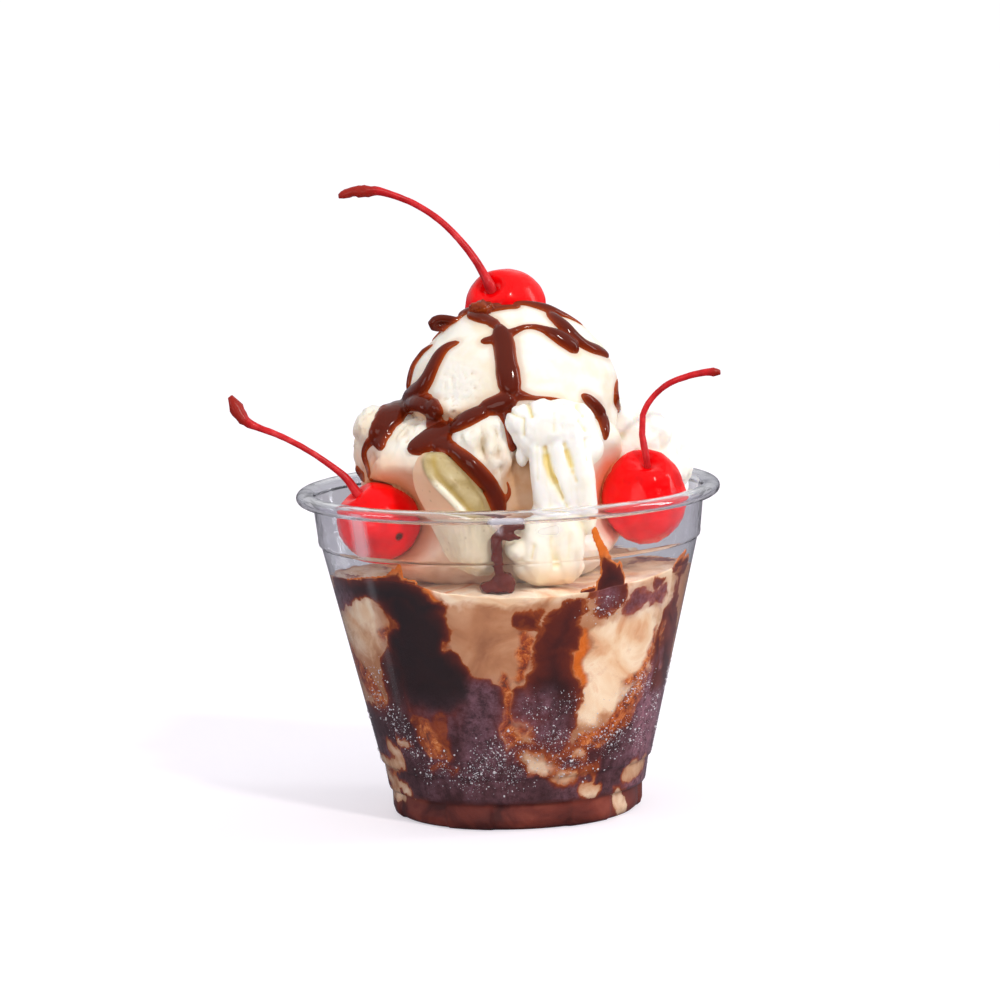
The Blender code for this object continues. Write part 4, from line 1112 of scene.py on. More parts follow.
def strand(drawn, tree, seed, height=1.5):
    """A strand of syrup from (x, z, width) rows in mm."""
    line = smooth_line(drawn)
    hits = []
    for x, z, _ in line:
        aim = (Vector((x, 0, z)) - VIEW_POINT).normalized()
        hit = tree.ray_cast(VIEW_POINT, aim)[0]
        if hit is None:
            hit = tree.find_nearest(Vector((x, 0, z)))[0]
        hits.append(hit)
    path = np.array(hits)
    for _ in range(3):
        path[1:-1] = (path[:-2] + 2 * path[1:-1] + path[2:]) / 4
    widths = line[:, 2] * (1 + 0.10 * bumps(path, 3.0, seed))
    ways = np.gradient(path, axis=0)
    across = 9
    rows = []
    for i, (point, way) in enumerate(zip(path, ways)):
        normal = tree.find_nearest(Vector(point))[1]
        side = np.cross(way, normal)
        side /= np.linalg.norm(side) + 1e-9
        half = max(widths[i], 0.5) / 2
        end = min(i, len(path) - 1 - i) * 0.7
        half *= math.sqrt(min(1.0, (end + 0.15) / half)) if end < half else 1.0
        rise = min(height, half * 0.85)
        top, under = [], []
        for u in np.linspace(-1, 1, across):
            spot, out, _, _ = tree.find_nearest(Vector(point + side * half * u))
            top.append(spot + out * (rise * math.sqrt(max(0, 1 - u * u)) + 0.02))
            under.append(spot - out * 0.7)
        rows.append(top + under[::-1])
    size = across * 2
    points = [p for row in rows for p in row]
    return mesh_object("strand", points, ring_faces(len(rows), size) + end_faces(len(rows), size))


# %% [markdown]
# These are the strands, one entry for each that the photo shows. Strands that meet overlap there,
# so that the joined skin has no gap.

# %% Strands of the drizzle
# (x, z, width) in mm along each strand
STRANDS = {
    "crest": [(-9.6, 108.2, 1.8), (-7.6, 108.9, 2.4), (-5.0, 109.4, 2.2), (-2.5, 109.9, 1.9),
              (-0.5, 110.3, 1.6), (2.5, 110.5, 1.6), (5.6, 110.3, 2.0), (8.6, 109.4, 2.8),
              (11.0, 108.4, 2.8), (13.4, 107.6, 1.8), (15.7, 106.4, 1.1), (17.3, 105.4, 0.5)],
    "crest_middle": [(-3.4, 109.0, 2.2), (-1.0, 109.5, 1.9), (1.4, 109.7, 1.7), (4.0, 109.8, 1.8)],
    "crest_link": [(-3.8, 107.5, 2.4), (-1.8, 106.4, 2.6), (-0.6, 105.2, 3.0)],
    "crest_left": [(-8.2, 108.4, 1.6), (-10.2, 107.2, 1.4), (-12.0, 105.8, 1.1), (-13.0, 104.8, 0.6)],
    "crest_outer": [(-12.6, 106.8, 1.2), (-14.2, 105.2, 1.0), (-15.6, 103.2, 0.6)],
    "crest_drop": [(-7.4, 108.6, 2.4), (-5.0, 107.8, 3.0), (-3.0, 107.0, 2.8), (-1.0, 106.2, 2.0)],
    "right_fall": [(9.8, 108.6, 2.4), (11.3, 106.8, 3.0), (13.0, 105.2, 3.4), (14.8, 103.4, 3.4),
                   (16.6, 101.6, 3.0), (18.6, 100.4, 2.8), (20.8, 99.6, 2.6), (22.6, 98.4, 1.2)],
    "spine": [(-0.9, 106.2, 3.0), (-0.6, 104.6, 4.2), (0.1, 102.4, 4.8), (0.4, 99.0, 4.9),
              (0.8, 95.5, 5.2), (1.2, 92.4, 5.6), (1.4, 90.4, 5.6)],
    "shoulder": [(-4.9, 102.6, 1.6), (-2.6, 102.8, 2.2), (0.4, 103.6, 2.4), (3.2, 104.9, 1.7),
                 (5.8, 105.5, 1.4), (8.4, 104.9, 2.0), (10.6, 103.7, 3.2), (12.8, 102.4, 4.0),
                 (14.8, 100.8, 3.8), (16.1, 99.5, 2.6)],
    "left_fall": [(-9.4, 102.6, 1.2), (-11.7, 101.8, 2.4), (-13.7, 99.8, 3.4), (-15.2, 97.2, 3.8),
                  (-16.7, 94.4, 4.2), (-18.9, 92.0, 4.8), (-21.6, 89.8, 5.4), (-24.4, 87.4, 6.0),
                  (-26.4, 84.6, 6.4), (-27.2, 82.0, 6.0), (-26.7, 79.9, 4.8)],
    "left_tail": [(-28.5, 82.4, 2.6), (-30.2, 81.0, 2.0), (-30.9, 79.2, 1.8), (-30.6, 77.0, 1.5),
                  (-29.9, 75.0, 1.4), (-29.3, 73.0, 1.1)],
    "left_limb": [(-15.2, 102.2, 1.1), (-17.6, 100.3, 2.0), (-19.4, 97.8, 2.4), (-20.6, 95.0, 2.5),
                  (-21.3, 92.2, 2.4)],
    "arch": [(-22.8, 88.2, 4.0), (-20.4, 89.4, 4.4), (-17.8, 89.4, 4.8), (-15.6, 88.0, 5.0),
             (-15.4, 86.0, 5.0), (-16.4, 83.8, 5.0)],
    "arch_tip": [(-16.8, 90.2, 2.6), (-14.8, 88.8, 3.0), (-13.5, 87.0, 2.2)],
    "arch_top": [(-15.8, 91.2, 1.2), (-17.8, 90.8, 2.0)],
    "diagonal": [(2.6, 89.6, 3.8), (0.0, 89.2, 4.6), (-3.0, 88.2, 4.6), (-6.0, 86.8, 4.4),
                 (-9.4, 85.2, 4.8), (-12.7, 83.7, 5.6), (-15.9, 82.0, 6.4), (-18.8, 80.4, 5.6),
                 (-21.4, 79.4, 4.8)],
    "descend": [(-15.8, 81.0, 5.4), (-12.9, 79.5, 5.2), (-9.9, 77.3, 4.9), (-6.8, 74.2, 4.9),
                (-4.5, 71.2, 4.9), (-3.0, 68.2, 4.8), (-2.4, 65.4, 4.0), (-2.4, 63.6, 3.0)],
    "loop": [(-1.4, 67.4, 1.5), (0.0, 68.4, 1.2), (0.4, 70.2, 0.8), (-0.2, 72.0, 0.5)],
    "behind_cream": [(-0.6, 88.0, 2.4), (0.4, 85.0, 3.2), (1.4, 81.4, 3.4), (1.0, 78.4, 2.4)],
    "thin_right": [(1.8, 91.0, 3.4), (3.6, 90.6, 2.2), (6.0, 90.0, 1.2), (9.5, 89.7, 1.0),
                   (12.6, 89.3, 0.6)],
    "crescent": [(16.5, 90.3, 1.8), (18.2, 89.1, 2.6), (19.9, 87.2, 3.2), (20.9, 84.8, 3.2),
                 (21.4, 82.2, 2.4), (21.4, 80.2, 0.9)],
    "right_edge": [(24.4, 93.5, 0.7), (23.9, 91.5, 1.5), (23.7, 89.6, 2.3), (24.1, 87.8, 2.0),
                   (24.9, 86.2, 1.2), (25.9, 84.4, 0.7)],
    "far_left": [(-32.6, 76.6, 1.4), (-31.8, 75.0, 2.2), (-31.0, 73.0, 1.6)],
    "shoulder_back": [(-27.4, 87.8, 2.0), (-25.6, 88.6, 2.4), (-23.6, 89.2, 2.0)],
}

scoop_tree = surface_tree([top_scoop, lower_scoop, banana])
strands = [strand(rows, scoop_tree, i * 1.7) for i, rows in enumerate(STRANDS.values())]
print("strands laid:", len(strands))

# %% [markdown]
# Some of the syrup doesn't lie on a scoop: a curl beside the top cherry, and a run between the
# banana and the cream that pools on the filling. A round rod along a smooth line makes them, and
# later the cherries' stems too. A small bead of syrup lies beside the top cherry on its own.

# %% Curl, run and bead
def rod(name, path, radii, around=12):
    """A round rod through places in mm with a radius at each and rounded ends."""
    line = smooth_line(np.column_stack([path, radii]))
    path, radii = line[:, :3], line[:, 3].clip(0.15)
    ways = np.gradient(path, axis=0)
    ways /= np.linalg.norm(ways, axis=1)[:, None]
    side = np.cross(ways[0], (0.3, 0.5, 0.8))
    rows = []
    for i, (point, way) in enumerate(zip(path, ways)):
        side = side - way * side.dot(way)
        side /= np.linalg.norm(side)
        other = np.cross(way, side)
        end = min(i, len(path) - 1 - i)
        size = radii[i] * (0.55, 0.88)[end] if end < 2 else radii[i]
        rows.append([point + size * (side * math.cos(t) + other * math.sin(t))
                     for t in np.arange(around) * 2 * math.pi / around])
    points = [p for row in rows for p in row]
    return mesh_object(name, points, ring_faces(len(rows), around) + end_faces(len(rows), around))


curl = rod("curl", [(-9.0, -3.0, 107.2), (-11.7, -3.0, 108.0), (-13.8, -3.0, 108.1),
                    (-15.2, -3.0, 107.3), (-14.8, -2.6, 106.3), (-12.4, -2.2, 106.2),
                    (-10.0, -2.0, 106.8)], [1.0, 0.9, 0.95, 1.0, 0.95, 0.9, 0.9])
# Syrup that runs down between the banana and the whipped cream and pools on the filling
runs = [rod("run", [(3.2, -31.0, 66.2), (1.0, -31.6, 66.4), (-1.2, -31.6, 65.6),
                    (-2.7, -31.2, 63.6), (-2.8, -31.0, 61.0), (-2.7, -31.0, 58.6),
                    (-2.2, -31.0, 55.6)], [0.9, 1.1, 1.15, 1.2, 1.2, 1.3, 1.5]),
        rod("run_two", [(2.6, -32.2, 64.0), (0.0, -32.2, 64.3), (-1.8, -31.6, 64.2)],
            [0.6, 0.75, 0.8]),
        ball((-1.4, -31.4, 54.6), (2.4, 2.6, 2.6), 4, floor=52.6),
        ball((-4.2, -31.2, 53.8), (2.6, 2.6, 1.5), 4, floor=52.6)]
drizzle = merged("chocolate_drizzle", strands + [curl] + runs, 0.28, smooth=3)
places, _ = points_of(drizzle)
shift_along_normals(drizzle, 0.4 * bumps(places, 2.2, 6.0, 2) * smoothstep(67, 65, places[:, 2]))
places, _ = points_of(drizzle)
thick = np.array([scoop_tree.find_nearest(Vector(p))[3] for p in places])
set_value(drizzle, "thick", thick)
print("thickest syrup:", thick.max().round(2), "mm")

bead = ball((-4.4, -5.8, 110.3), (2.7, 2.2, 1.6), 4)
places, _ = points_of(bead)
shift_along_normals(bead, 0.55 * bumps(places, 1.3, 2.0, 3))
set_value(bead, "thick", 0.45 + 0.5 * bumps(places, 1.2, 6.0, 2))
bead.name = "syrup_bead"

# %% [markdown]
# Only now is the ice cream's skin torn, and least where syrup covers it, so that the strands lie
# smoothly. Two marks are kept for the shader: how torn a place is, and a tan tint that is chocolate
# melted into it beside the syrup and painted shade on the shaded lower left.

# %% Tear the upper scoop
def distance_to(places, thing, most=4.0):
    """Distance in mm from each place to a piece, and never more than the greatest asked for."""
    tree = surface_tree([thing])
    found = (tree.find_nearest(Vector(p), most)[3] for p in places)
    return np.array([most if gap is None else gap for gap in found])


places, _ = points_of(top_scoop)
x, y, z = places.T
from_drizzle = distance_to(places, drizzle)
bare = smoothstep(0.2, 2.2, from_drizzle)
low_rim = smoothstep(94.0, 89.0, z + 1.6 * bumps(places, 5.0, 2.0, 2)) * smoothstep(3.0, -3.0, x)
low_rim *= smoothstep(8.0, -6.0, y)
patch = 0.22 * smoothstep(6.0, 3.0, np.hypot(x + 9.5, (z - 95.0) * 0.9)) * (y < 0)
torn = np.maximum(low_rim, patch) * bare
flow = bumps(places * (0.35, 0.35, 1.6), 3.2, 6.0, 2)
ridge = -np.abs(bumps(places, 2.0, 8.0, 3))
shift_along_normals(top_scoop, 0.16 * flow * bare + torn * (0.5 + 2.1 * ridge))
set_value(top_scoop, "torn", torn)
# The tan mark paints shade on the lower left of the scoop, and marks chocolate melted in beside the
# drizzle
set_value(top_scoop, "melt_and_shade", 0.6 * smoothstep(92, 89, z) * smoothstep(2, -4, x)
          + 0.35 * smoothstep(1.6, 0.4, from_drizzle))

print("torn share of the upper scoop:", (torn > 0.3).mean().round(2))

# %% [markdown]
# The lower scoop is torn most at its chunk on the left and under the upper scoop in the middle,
# where the ice cream was pulled apart. Ridges, pits and upright streams make it look crumbly.

# %% Tear the lower scoop
places, _ = points_of(lower_scoop)
x, y, z = places.T
bare = smoothstep(0.2, 2.2, distance_to(places, drizzle))
chunk = smoothstep(-25.5, -28.5, x + 1.6 * bumps(places, 6.0, 1.0)) * smoothstep(73, 78, z)
skirt = smoothstep(9.0, 6.0, np.hypot(x + 4.5, (z - 80) * 0.72)) * smoothstep(-16, -19, y)
nook = smoothstep(5.0, 3.0, np.hypot(x + 20.5, z - 86.0)) * (y < 0)
torn = np.maximum.reduce([chunk, skirt, 0.6 * nook, np.full(len(x), 0.16)]) * bare
torn *= 1 - 0.9 * smoothstep(2, 6, x)
ridge = -np.abs(bumps(places * (1, 1, 0.5), 3.4, 8.0, 2))
pits = -smoothstep(0.3, 0.6, bumps(places, 2.0, 4.0))
streams = bumps(places * (1, 1, 0.22), 2.2, 4.0, 2) * skirt
shift_along_normals(lower_scoop, torn * (0.6 + 2.3 * ridge + 0.5 * pits + 0.9 * streams))
set_value(lower_scoop, "torn", torn)
# The tan mark here is painted shade: in the nook between the descending strand and the cream, under
# the upper scoop, on the lower left and in the skirt's crumbs; on the chunk it is a tan tint
shaded_nook = smoothstep(5.0, 3.0, np.hypot((x - 2.8) * 0.9, (z - 73) * 0.5)) * (y < -10)
under = smoothstep(84, 70, z) * smoothstep(-24, -18, x) * smoothstep(4, -2, x) * (y < 0)
left_low = 0.75 * smoothstep(82, 76, z) * smoothstep(-12, -17, x) * (y < -6)
crumbs = 0.6 * skirt * smoothstep(84, 78, z) * smoothstep(-0.4, 0.4, bumps(places, 2.6, 9.0, 2))
set_value(lower_scoop, "melt_and_shade", np.maximum.reduce([shaded_nook, 0.75 * under, left_low, crumbs,
                                                    0.42 * chunk * smoothstep(90, 82, z)]))
tucked_behind(lower_scoop, "left")
tucked_behind(lower_scoop, "right")
inside_cup(lower_scoop, 1.0)
finish_piece(top_scoop, vanilla, "vanilla_ice_cream", "top_scoop")
finish_piece(lower_scoop, vanilla, "vanilla_ice_cream_low", "lower_scoop")

# %% [markdown]
# Chocolate syrup is glossy and dark reddish brown where it is thick, and orange brown where it
# thins at its edges, so the colour follows the stored thickness. It was poured and has settled,
# so its skin is smooth and its highlights are small and sharp.

# %% Chocolate syrup material
syrup, tree, surface = new_material("chocolate_syrup")
place = add_node(tree, "ShaderNodeTexCoord").outputs["Object"]
thickness = add_node(tree, "ShaderNodeAttribute", attribute_name="thick").outputs["Fac"]
mottle = add_node(tree, "ShaderNodeTexNoise", {"Vector": place, "Scale": 300.0, "Detail": 3.0})
uneven = add_node(tree, "ShaderNodeMath", {0: mottle.outputs["Fac"], 1: 0.5, 2: thickness},
                  operation="MULTIPLY_ADD")
share = add_node(tree, "ShaderNodeMapRange", {"Value": uneven.outputs[0], "From Min": 0.1,
                                              "From Max": 1.7})
tone = add_node(tree, "ShaderNodeValToRGB", {"Fac": share.outputs["Result"]}, stops=[
    (0.05, linear("#c06a30")), (0.22, linear("#983e16")), (0.5, linear("#7a280e")),
    (0.9, linear("#5a1b0c"))])
waves = add_node(tree, "ShaderNodeBump", {"Height": mottle.outputs["Fac"], "Strength": 0.12,
                                          "Distance": 0.0005})
gloss = add_node(tree, "ShaderNodeMapRange", {"Value": mottle.outputs["Fac"], "To Min": 0.05,
                                              "To Max": 0.15})
body = add_node(tree, "ShaderNodeBsdfPrincipled", {
    "Base Color": tone.outputs["Color"], "Roughness": gloss.outputs["Result"], "IOR": 1.48,
    "Specular IOR Level": 0.2, "Subsurface Weight": 0.1, "Subsurface Radius": (1.0, 0.3, 0.15),
    "Subsurface Scale": 0.001, "Normal": waves.outputs["Normal"]})
tree.links.new(body.outputs[0], surface)
finish_piece(drizzle, syrup, "fudge")
finish_piece(bead, syrup, "fudge")

# %% [markdown]
# Maraschino cherries were dyed and kept in syrup, so they are an even bright red that light
# enters, under a thin glossy skin. Each is a ball with a dimple where its stem goes in, and noise
# gives it a few soft dents.

# %% Cherries
def cherry(name, centre, radii, way, wrinkle, seed):
    """A cherry with its dimple on the side that way points to."""
    thing = ball((0, 0, 0), radii, 6)
    places, _ = points_of(thing)
    ways = places / np.linalg.norm(places, axis=1)[:, None]
    middle = np.array(way) / np.linalg.norm(way)
    away = np.degrees(np.arccos((ways @ middle).clip(-1, 1)))
    sink = 1.9 * np.exp(-(away / 15.0) ** 2) - 0.35 * np.exp(-((away - 30) / 14.0) ** 2)
    swell = 0.16 * bumps(places, 5.0, seed, 2) + wrinkle * bumps(places, 2.2, seed, 2)
    places = places + ways * (swell - sink)[:, None] + np.array(centre)
    set_points(thing, places)
    thing.name = name
    return thing


top_cherry = cherry("cherry_top", CHERRY_CENTRES["top"], CHERRY_RADII["top"],
                    (-3.4, -6.0, 5.4), 0.05, 1.0)
left_cherry = cherry("cherry_left", CHERRY_CENTRES["left"], CHERRY_RADII["left"],
                     (-4.7, -1.0, 6.0), 0.10, 4.0)
right_cherry = cherry("cherry_right", CHERRY_CENTRES["right"], CHERRY_RADII["right"],
                      (0.8, -4.4, 9.2), 0.14, 7.0)

print("faces in each cherry:", len(top_cherry.data.polygons))

# %% [markdown]
# The stems are thin and curved, about a millimetre and a half thick and wider at both ends. Each is
# a rod along a smooth line, and noise roughens the knot at its free end.

# %% Stems
top_stem = rod("stem_top", [
    (-1.9, 0.4, 112.6), (-2.6, -1.0, 115.0), (-3.7, 0.0, 117.2), (-5.7, 1.0, 120.7),
    (-9.0, 2.0, 125.0), (-13.2, 3.0, 129.2), (-18.1, 4.0, 132.5), (-22.3, 4.0, 134.4),
    (-26.0, 4.0, 135.6), (-28.8, 4.0, 135.6), (-31.6, 4.0, 135.6), (-34.4, 4.0, 134.8)],
    [1.4, 1.2, 0.95, 0.85, 0.78, 0.72, 0.72, 0.76, 0.95, 1.3, 1.2, 0.8])
left_stem = rod("stem_left", [
    (-30.6, -14.0, 70.4), (-32.3, -14.0, 72.3), (-34.6, -14.0, 75.6), (-38.5, -13.5, 78.9),
    (-43.8, -13.0, 82.5), (-49.3, -12.0, 85.3), (-53.5, -11.0, 86.9), (-56.1, -11.0, 88.5),
    (-57.6, -10.0, 91.0), (-58.9, -10.0, 93.4)],
    [1.5, 1.1, 0.85, 0.7, 0.66, 0.7, 0.8, 1.2, 1.5, 0.9])
right_stem = rod("stem_right", [
    (30.2, -13.2, 75.0), (29.8, -13.4, 78.0), (29.1, -12.0, 82.6), (29.4, -11.0, 86.7),
    (31.5, -10.0, 90.2), (35.0, -10.0, 93.1), (39.4, -9.0, 94.6), (43.3, -9.0, 95.3),
    (46.3, -9.0, 95.2)], [1.1, 0.85, 0.72, 0.66, 0.66, 0.68, 0.72, 0.82, 1.0])
for thing, seed, knot_from, knot_to in ((top_stem, 1.0, -25, -29), (left_stem, 4.0, -54, -57),
                                        (right_stem, 7.0, 43.5, 45.5)):
    places, _ = points_of(thing)
    knot = smoothstep(knot_from, knot_to, places[:, 0])
    shift_along_normals(thing, 0.05 * bumps(places, 1.6, seed, 2)
                        + knot * 0.35 * bumps(places, 1.0, seed, 2))
    set_value(thing, "knot", knot)
    print(thing.name, "has", len(places), "points")

# %% [markdown]
# The skin is dyed an even red and is smooth, so it shines with small highlights. Creases are darker as
# painted shade, and the left cherry has a small brown spot. Light that bounces off the cherries is
# kept paler than they look, or it would dye the cream more than it does in the photo.

# %% Cherry skin
# A small brown spot on the left cherry's side, in mm
PIT = (-23.3, -20.6, 63.4)

skin, tree, surface = new_material("maraschino_cherry_skin")
place = add_node(tree, "ShaderNodeTexCoord").outputs["Object"]
mottle = add_node(tree, "ShaderNodeTexNoise", {"Vector": place, "Scale": 180.0, "Detail": 4.0})
red = add_node(tree, "ShaderNodeValToRGB", {"Fac": mottle.outputs["Fac"]}, stops=[
    (0.3, linear("#d80008")), (0.52, linear("#fa0006")), (0.75, linear("#ff0410"))])
# Pointiness paints darker red into the creases as painted shade
pointiness_for_shade = add_node(tree, "ShaderNodeNewGeometry").outputs["Pointiness"]
deep = add_node(tree, "ShaderNodeMapRange", {"Value": pointiness_for_shade, "From Min": 0.49,
                                             "From Max": 0.42})
red = add_node(tree, "ShaderNodeMix", {0: deep.outputs["Result"], 6: red.outputs["Color"],
                                       7: linear("#8c0008")}, data_type="RGBA")
from_pit = add_node(tree, "ShaderNodeVectorMath", {0: place, 1: [p * MM for p in PIT]},
                    operation="DISTANCE").outputs["Value"]
pit = add_node(tree, "ShaderNodeMapRange", {"Value": from_pit, "From Min": 1.2 * MM,
                                            "From Max": 0.7 * MM})
red = add_node(tree, "ShaderNodeMix", {0: pit.outputs["Result"], 6: red.outputs[2],
                                       7: linear("#5c1c08")}, data_type="RGBA")
puckers = add_node(tree, "ShaderNodeBump", {"Height": mottle.outputs["Fac"], "Strength": 0.22,
                                            "Distance": 0.0006})
bounced = add_node(tree, "ShaderNodeLightPath").outputs["Is Diffuse Ray"]
red = add_node(tree, "ShaderNodeMix", {0: bounced, 6: red.outputs[2], 7: linear("#f0c4b8")},
               data_type="RGBA")
body = add_node(tree, "ShaderNodeBsdfPrincipled", {
    "Base Color": red.outputs[2], "Roughness": 0.2, "IOR": 1.42, "Subsurface Weight": 0.3,
    "Subsurface Radius": (1.0, 0.06, 0.06), "Subsurface Scale": 0.003, "Coat Weight": 0.08,
    "Specular IOR Level": 0.2, "Coat Roughness": 0.08, "Normal": puckers.outputs["Normal"]})
tree.links.new(body.outputs[0], surface)

print("skin:", skin.name)

# %% [markdown]
# The stems took up the same dye, but are darker and duller than the skin. Their red is uneven, and
# the knot at the end is brownish.

# %% Stem material
stalk, tree, surface = new_material("cherry_stem")
place = add_node(tree, "ShaderNodeTexCoord").outputs["Object"]
along = add_node(tree, "ShaderNodeTexNoise", {"Vector": place, "Scale": 350.0, "Detail": 4.0})
red = add_node(tree, "ShaderNodeValToRGB", {"Fac": along.outputs["Fac"]}, stops=[
    (0.3, linear("#a80c14")), (0.55, linear("#cc1c24")), (0.75, linear("#e2484a"))])
knot = add_node(tree, "ShaderNodeAttribute", attribute_name="knot").outputs["Fac"]
red = add_node(tree, "ShaderNodeMix", {0: knot, 6: red.outputs["Color"],
                                       7: linear("#9c1f14")}, data_type="RGBA")
rough = add_node(tree, "ShaderNodeBump", {"Height": along.outputs["Fac"], "Strength": 0.35,
                                          "Distance": 0.0003})
body = add_node(tree, "ShaderNodeBsdfPrincipled", {
    "Base Color": red.outputs[2], "Roughness": 0.32, "IOR": 1.42, "Subsurface Weight": 0.15,
    "Specular IOR Level": 0.3,
    "Subsurface Radius": (1.0, 0.1, 0.1), "Subsurface Scale": 0.001,
    "Normal": rough.outputs["Normal"]})
tree.links.new(body.outputs[0], surface)

finish_piece(top_cherry, skin, "maraschino_cherry", "top_cherry")
finish_piece(left_cherry, skin, "maraschino_cherry_left", "left_cherry")
finish_piece(right_cherry, skin, "maraschino_cherry_right", "right_cherry")
finish_piece(top_stem, stalk, "maraschino_cherry")
finish_piece(left_stem, stalk, "maraschino_cherry_left")
finish_piece(right_stem, stalk, "maraschino_cherry_right")

# %% [markdown]
# Tiny droplets of condensation and frost cling to the wall, most of them on its lower half. They
# are small round grains, up to 0.8 mm across, joined into one mesh and denser in loose clusters.

# %% Droplets on the wall
DROPLETS = 6400
# (angle, height in mm) of each cluster that the front shows
FROSTY = [(-10, 18), (-14, 15), (-6, 20), (-20, 11), (-30, 14), (-62, 28), (-58, 33), (-54, 24),
          (12, 20), (16, 21), (5, 19), (28, 18), (36, 20), (46, 28), (51, 30), (45, 20), (40, 17),
          (52, 22), (60, 18), (66, 24), (0, 14), (-2, 12), (18, 15), (26, 14), (7, 27), (20, 28),
          (-40, 13), (-50, 22), (-46, 18), (30, 49), (-16, 12), (-8, 16), (33, 22), (56, 30)]
behind = np.column_stack([rng.uniform(85, 275, 44), rng.uniform(9, 31, 44)])
clusters = np.vstack([FROSTY, behind])
picks = clusters[rng.integers(0, len(clusters), DROPLETS)]
drop_turn = np.radians(picks[:, 0] + rng.normal(0, 4.2, DROPLETS))
drop_height = (picks[:, 1] + rng.normal(0, 1.7, DROPLETS)).clip(6.8, 51)
drop_size = rng.gamma(2.0, 0.034, DROPLETS).clip(0.04, 0.24)
template = bmesh.new()
bmesh.ops.create_icosphere(template, subdivisions=1, radius=1.0)
shape = np.array([v.co[:] for v in template.verts])
shape_faces = np.array([[v.index for v in f.verts] for f in template.faces])
template.free()
outer = wall_radius(drop_height) + WALL / 2
middles = np.column_stack([outer * np.sin(drop_turn), -outer * np.cos(drop_turn), drop_height])
stretch = rng.uniform(0.6, 1.7, (DROPLETS, 1, 3))
points = (middles[:, None, :] + shape[None] * stretch * drop_size[:, None, None]).reshape(-1, 3)
faces = (np.arange(DROPLETS)[:, None, None] * len(shape) + shape_faces[None]).reshape(-1, 3)
droplets = mesh_object("condensation", points, faces.tolist())

dew, tree, surface = new_material("frosty_condensation")
place = add_node(tree, "ShaderNodeTexCoord").outputs["Object"]
cloud = add_node(tree, "ShaderNodeTexNoise", {"Vector": place, "Scale": 500.0, "Detail": 2.0})
white = add_node(tree, "ShaderNodeValToRGB", {"Fac": cloud.outputs["Fac"]}, stops=[
    (0.3, linear("#d9d3dc")), (0.7, linear("#fbf7fb"))])
body = add_node(tree, "ShaderNodeBsdfPrincipled", {
    "Base Color": white.outputs["Color"], "Roughness": 0.25, "IOR": 1.33,
    "Transmission Weight": 0.25})
tree.links.new(body.outputs[0], surface)
finish_piece(droplets, dew, "clear_pet")

# %% [markdown]
# The ground in the photo is plain white paper with a faint shadow. Lit paper alone comes out grey,
# so the floor also gives off some light of its own, and only the camera sees it that bright.

# %% Floor
FLOOR_HALF = 20000
UNDER_FOOT = -0.05
corners = [(-1, -1), (1, -1), (1, 1), (-1, 1)]
floor = mesh_object("floor", [(x * FLOOR_HALF, y * FLOOR_HALF, UNDER_FOOT) for x, y in corners],
                    [(0, 1, 2, 3)])
paper, tree, surface = new_material("white_paper")
place = add_node(tree, "ShaderNodeTexCoord").outputs["Object"]
pulp = add_node(tree, "ShaderNodeTexNoise", {"Vector": place, "Scale": 3.0, "Detail": 3.0})
tone = add_node(tree, "ShaderNodeValToRGB", {"Fac": pulp.outputs["Fac"]}, stops=[
    (0.3, linear("#c9c6cc")), (0.7, linear("#cfcbd1"))])
matt = add_node(tree, "ShaderNodeBsdfDiffuse", {"Color": tone.outputs["Color"]})
backlight = add_node(tree, "ShaderNodeEmission", {"Color": linear("#fdf9ff"), "Strength": 0.455})
lit = add_node(tree, "ShaderNodeAddShader", {0: matt.outputs[0], 1: backlight.outputs[0]})
# Other rays meet it grey, and mirrored ones darker, so that the clear walls keep grey lines
rays = add_node(tree, "ShaderNodeLightPath")
mirrored = add_node(tree, "ShaderNodeMath", {0: rays.outputs["Is Glossy Ray"],
                                             1: rays.outputs["Is Transmission Ray"]},
                    operation="SUBTRACT", use_clamp=True)
grey = add_node(tree, "ShaderNodeMix", {0: mirrored.outputs[0], 6: linear("#a9a7ad"),
                                        7: linear("#605e66")}, data_type="RGBA")
shade = add_node(tree, "ShaderNodeBsdfDiffuse", {"Color": grey.outputs[2]})
both = add_node(tree, "ShaderNodeMixShader", {0: rays.outputs["Is Camera Ray"],
                                              1: shade.outputs[0], 2: lit.outputs[0]})
tree.links.new(both.outputs[0], surface)
floor.data.materials.append(paper)
print("floor reaches", FLOOR_HALF * MM, "m to each side")

# %% [markdown]
# Glossy and clear things show their surroundings, so the room matters although the camera doesn't
# see it. It is white overhead, grey at eye level, and brighter behind the cup than in front of it.

# %% Surroundings
world = bpy.data.worlds.new("studio")
bpy.context.scene.world = world
world.use_nodes = True
tree = world.node_tree
tree.nodes.clear()
way = add_node(tree, "ShaderNodeTexCoord")
parts = add_node(tree, "ShaderNodeSeparateXYZ", {"Vector": way.outputs["Generated"]})
rise = add_node(tree, "ShaderNodeMapRange", {"Value": parts.outputs["Z"], "From Min": 0.0,
                                             "From Max": 0.75})
depth = add_node(tree, "ShaderNodeMapRange", {"Value": parts.outputs["Y"], "From Min": -0.6,
                                              "From Max": 0.6, "To Min": 0.0, "To Max": 0.35})
place_in_room = add_node(tree, "ShaderNodeMath", {0: rise.outputs["Result"],
                                                  1: depth.outputs["Result"]}, operation="ADD")
sky = add_node(tree, "ShaderNodeValToRGB", {"Fac": place_in_room.outputs[0]}, stops=[
    (0.0, linear("#5c5b64")), (0.35, linear("#a3a3ad")), (0.9, linear("#ffffff"))])
glow = add_node(tree, "ShaderNodeBackground", {"Color": sky.outputs["Color"], "Strength": 0.85})
add_node(tree, "ShaderNodeOutputWorld", {"Surface": glow.outputs[0]})
print("surroundings:", world.name)

# %% [markdown]
# A sun-like key light from the front right gives the faint shadow on the left. Three soft lights
# from the front and the sides give the high, even light of a studio picture.

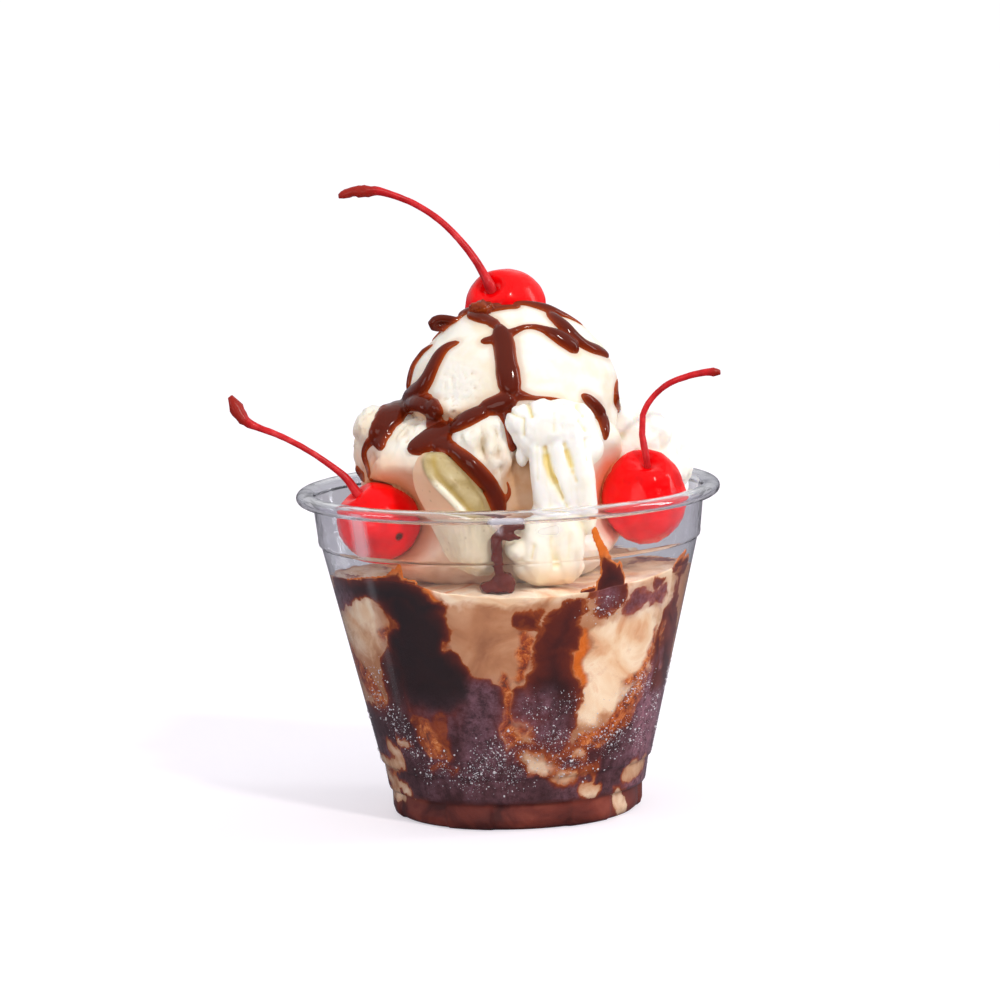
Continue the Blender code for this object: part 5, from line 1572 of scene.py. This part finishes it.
# %% Lights
def area_light(name, place, aim, size, power, colour):
    """A soft rectangular light, with its place, aim and size in metres."""
    light = bpy.data.lights.new(name, "AREA")
    light.shape = "RECTANGLE"
    light.size, light.size_y = size
    light.energy = power
    light.color = linear(colour)[:3]
    thing = bpy.data.objects.new(name, light)
    bpy.context.scene.collection.objects.link(thing)
    thing.location = place
    thing.rotation_euler = (Vector(aim) - Vector(place)).to_track_quat("-Z", "Y").to_euler()


sun = bpy.data.lights.new("key", "SUN")
sun.energy = 1.4
sun.angle = math.radians(6)
sun.color = linear("#fffaf4")[:3]
key = bpy.data.objects.new("key", sun)
bpy.context.scene.collection.objects.link(key)
key.rotation_euler = Vector((-0.54, 0.84, -0.74)).to_track_quat("-Z", "Y").to_euler()
area_light("front", (-0.3, -0.9, 0.15), (0, 0, 0.05), (0.45, 0.45), 2.0, "#fff6f0")
area_light("left", (-0.85, -0.25, 0.2), (0, 0, 0.05), (0.3, 0.3), 0.9, "#f6f6ff")
area_light("right", (0.8, 0.02, 0.38), (0, 0, 0.08), (0.16, 0.7), 2.4, "#ffffff")
print("lights placed")

# %% [markdown]
# The camera stands about a metre away and seven degrees above the cup, as in the photograph, with
# a long lens and a slight tilt.

# %% Camera
ELEVATION, DISTANCE, TILT = 7.435, 1056.0, 1.858
AIM = Vector((-1.786, 0.0, 67.945))
eye = AIM + DISTANCE * Vector((0, -math.cos(math.radians(ELEVATION)),
                               math.sin(math.radians(ELEVATION))))
lens = bpy.data.cameras.new("view")
lens.lens = 175.1
lens.sensor_width = 36.0
lens.clip_start, lens.clip_end = 0.05, 60.0
camera = bpy.data.objects.new("view", lens)
bpy.context.scene.collection.objects.link(camera)
turn_to = (AIM - eye).to_track_quat("-Z", "Y").to_matrix()
camera.matrix_world = Matrix.Translation(eye * MM) @ (
    turn_to @ Matrix.Rotation(math.radians(-TILT), 3, "Z")).to_4x4()
bpy.context.scene.camera = camera
bpy.context.scene.view_settings.view_transform = "Standard"
print("camera at", [round(v, 3) for v in camera.matrix_world.translation])
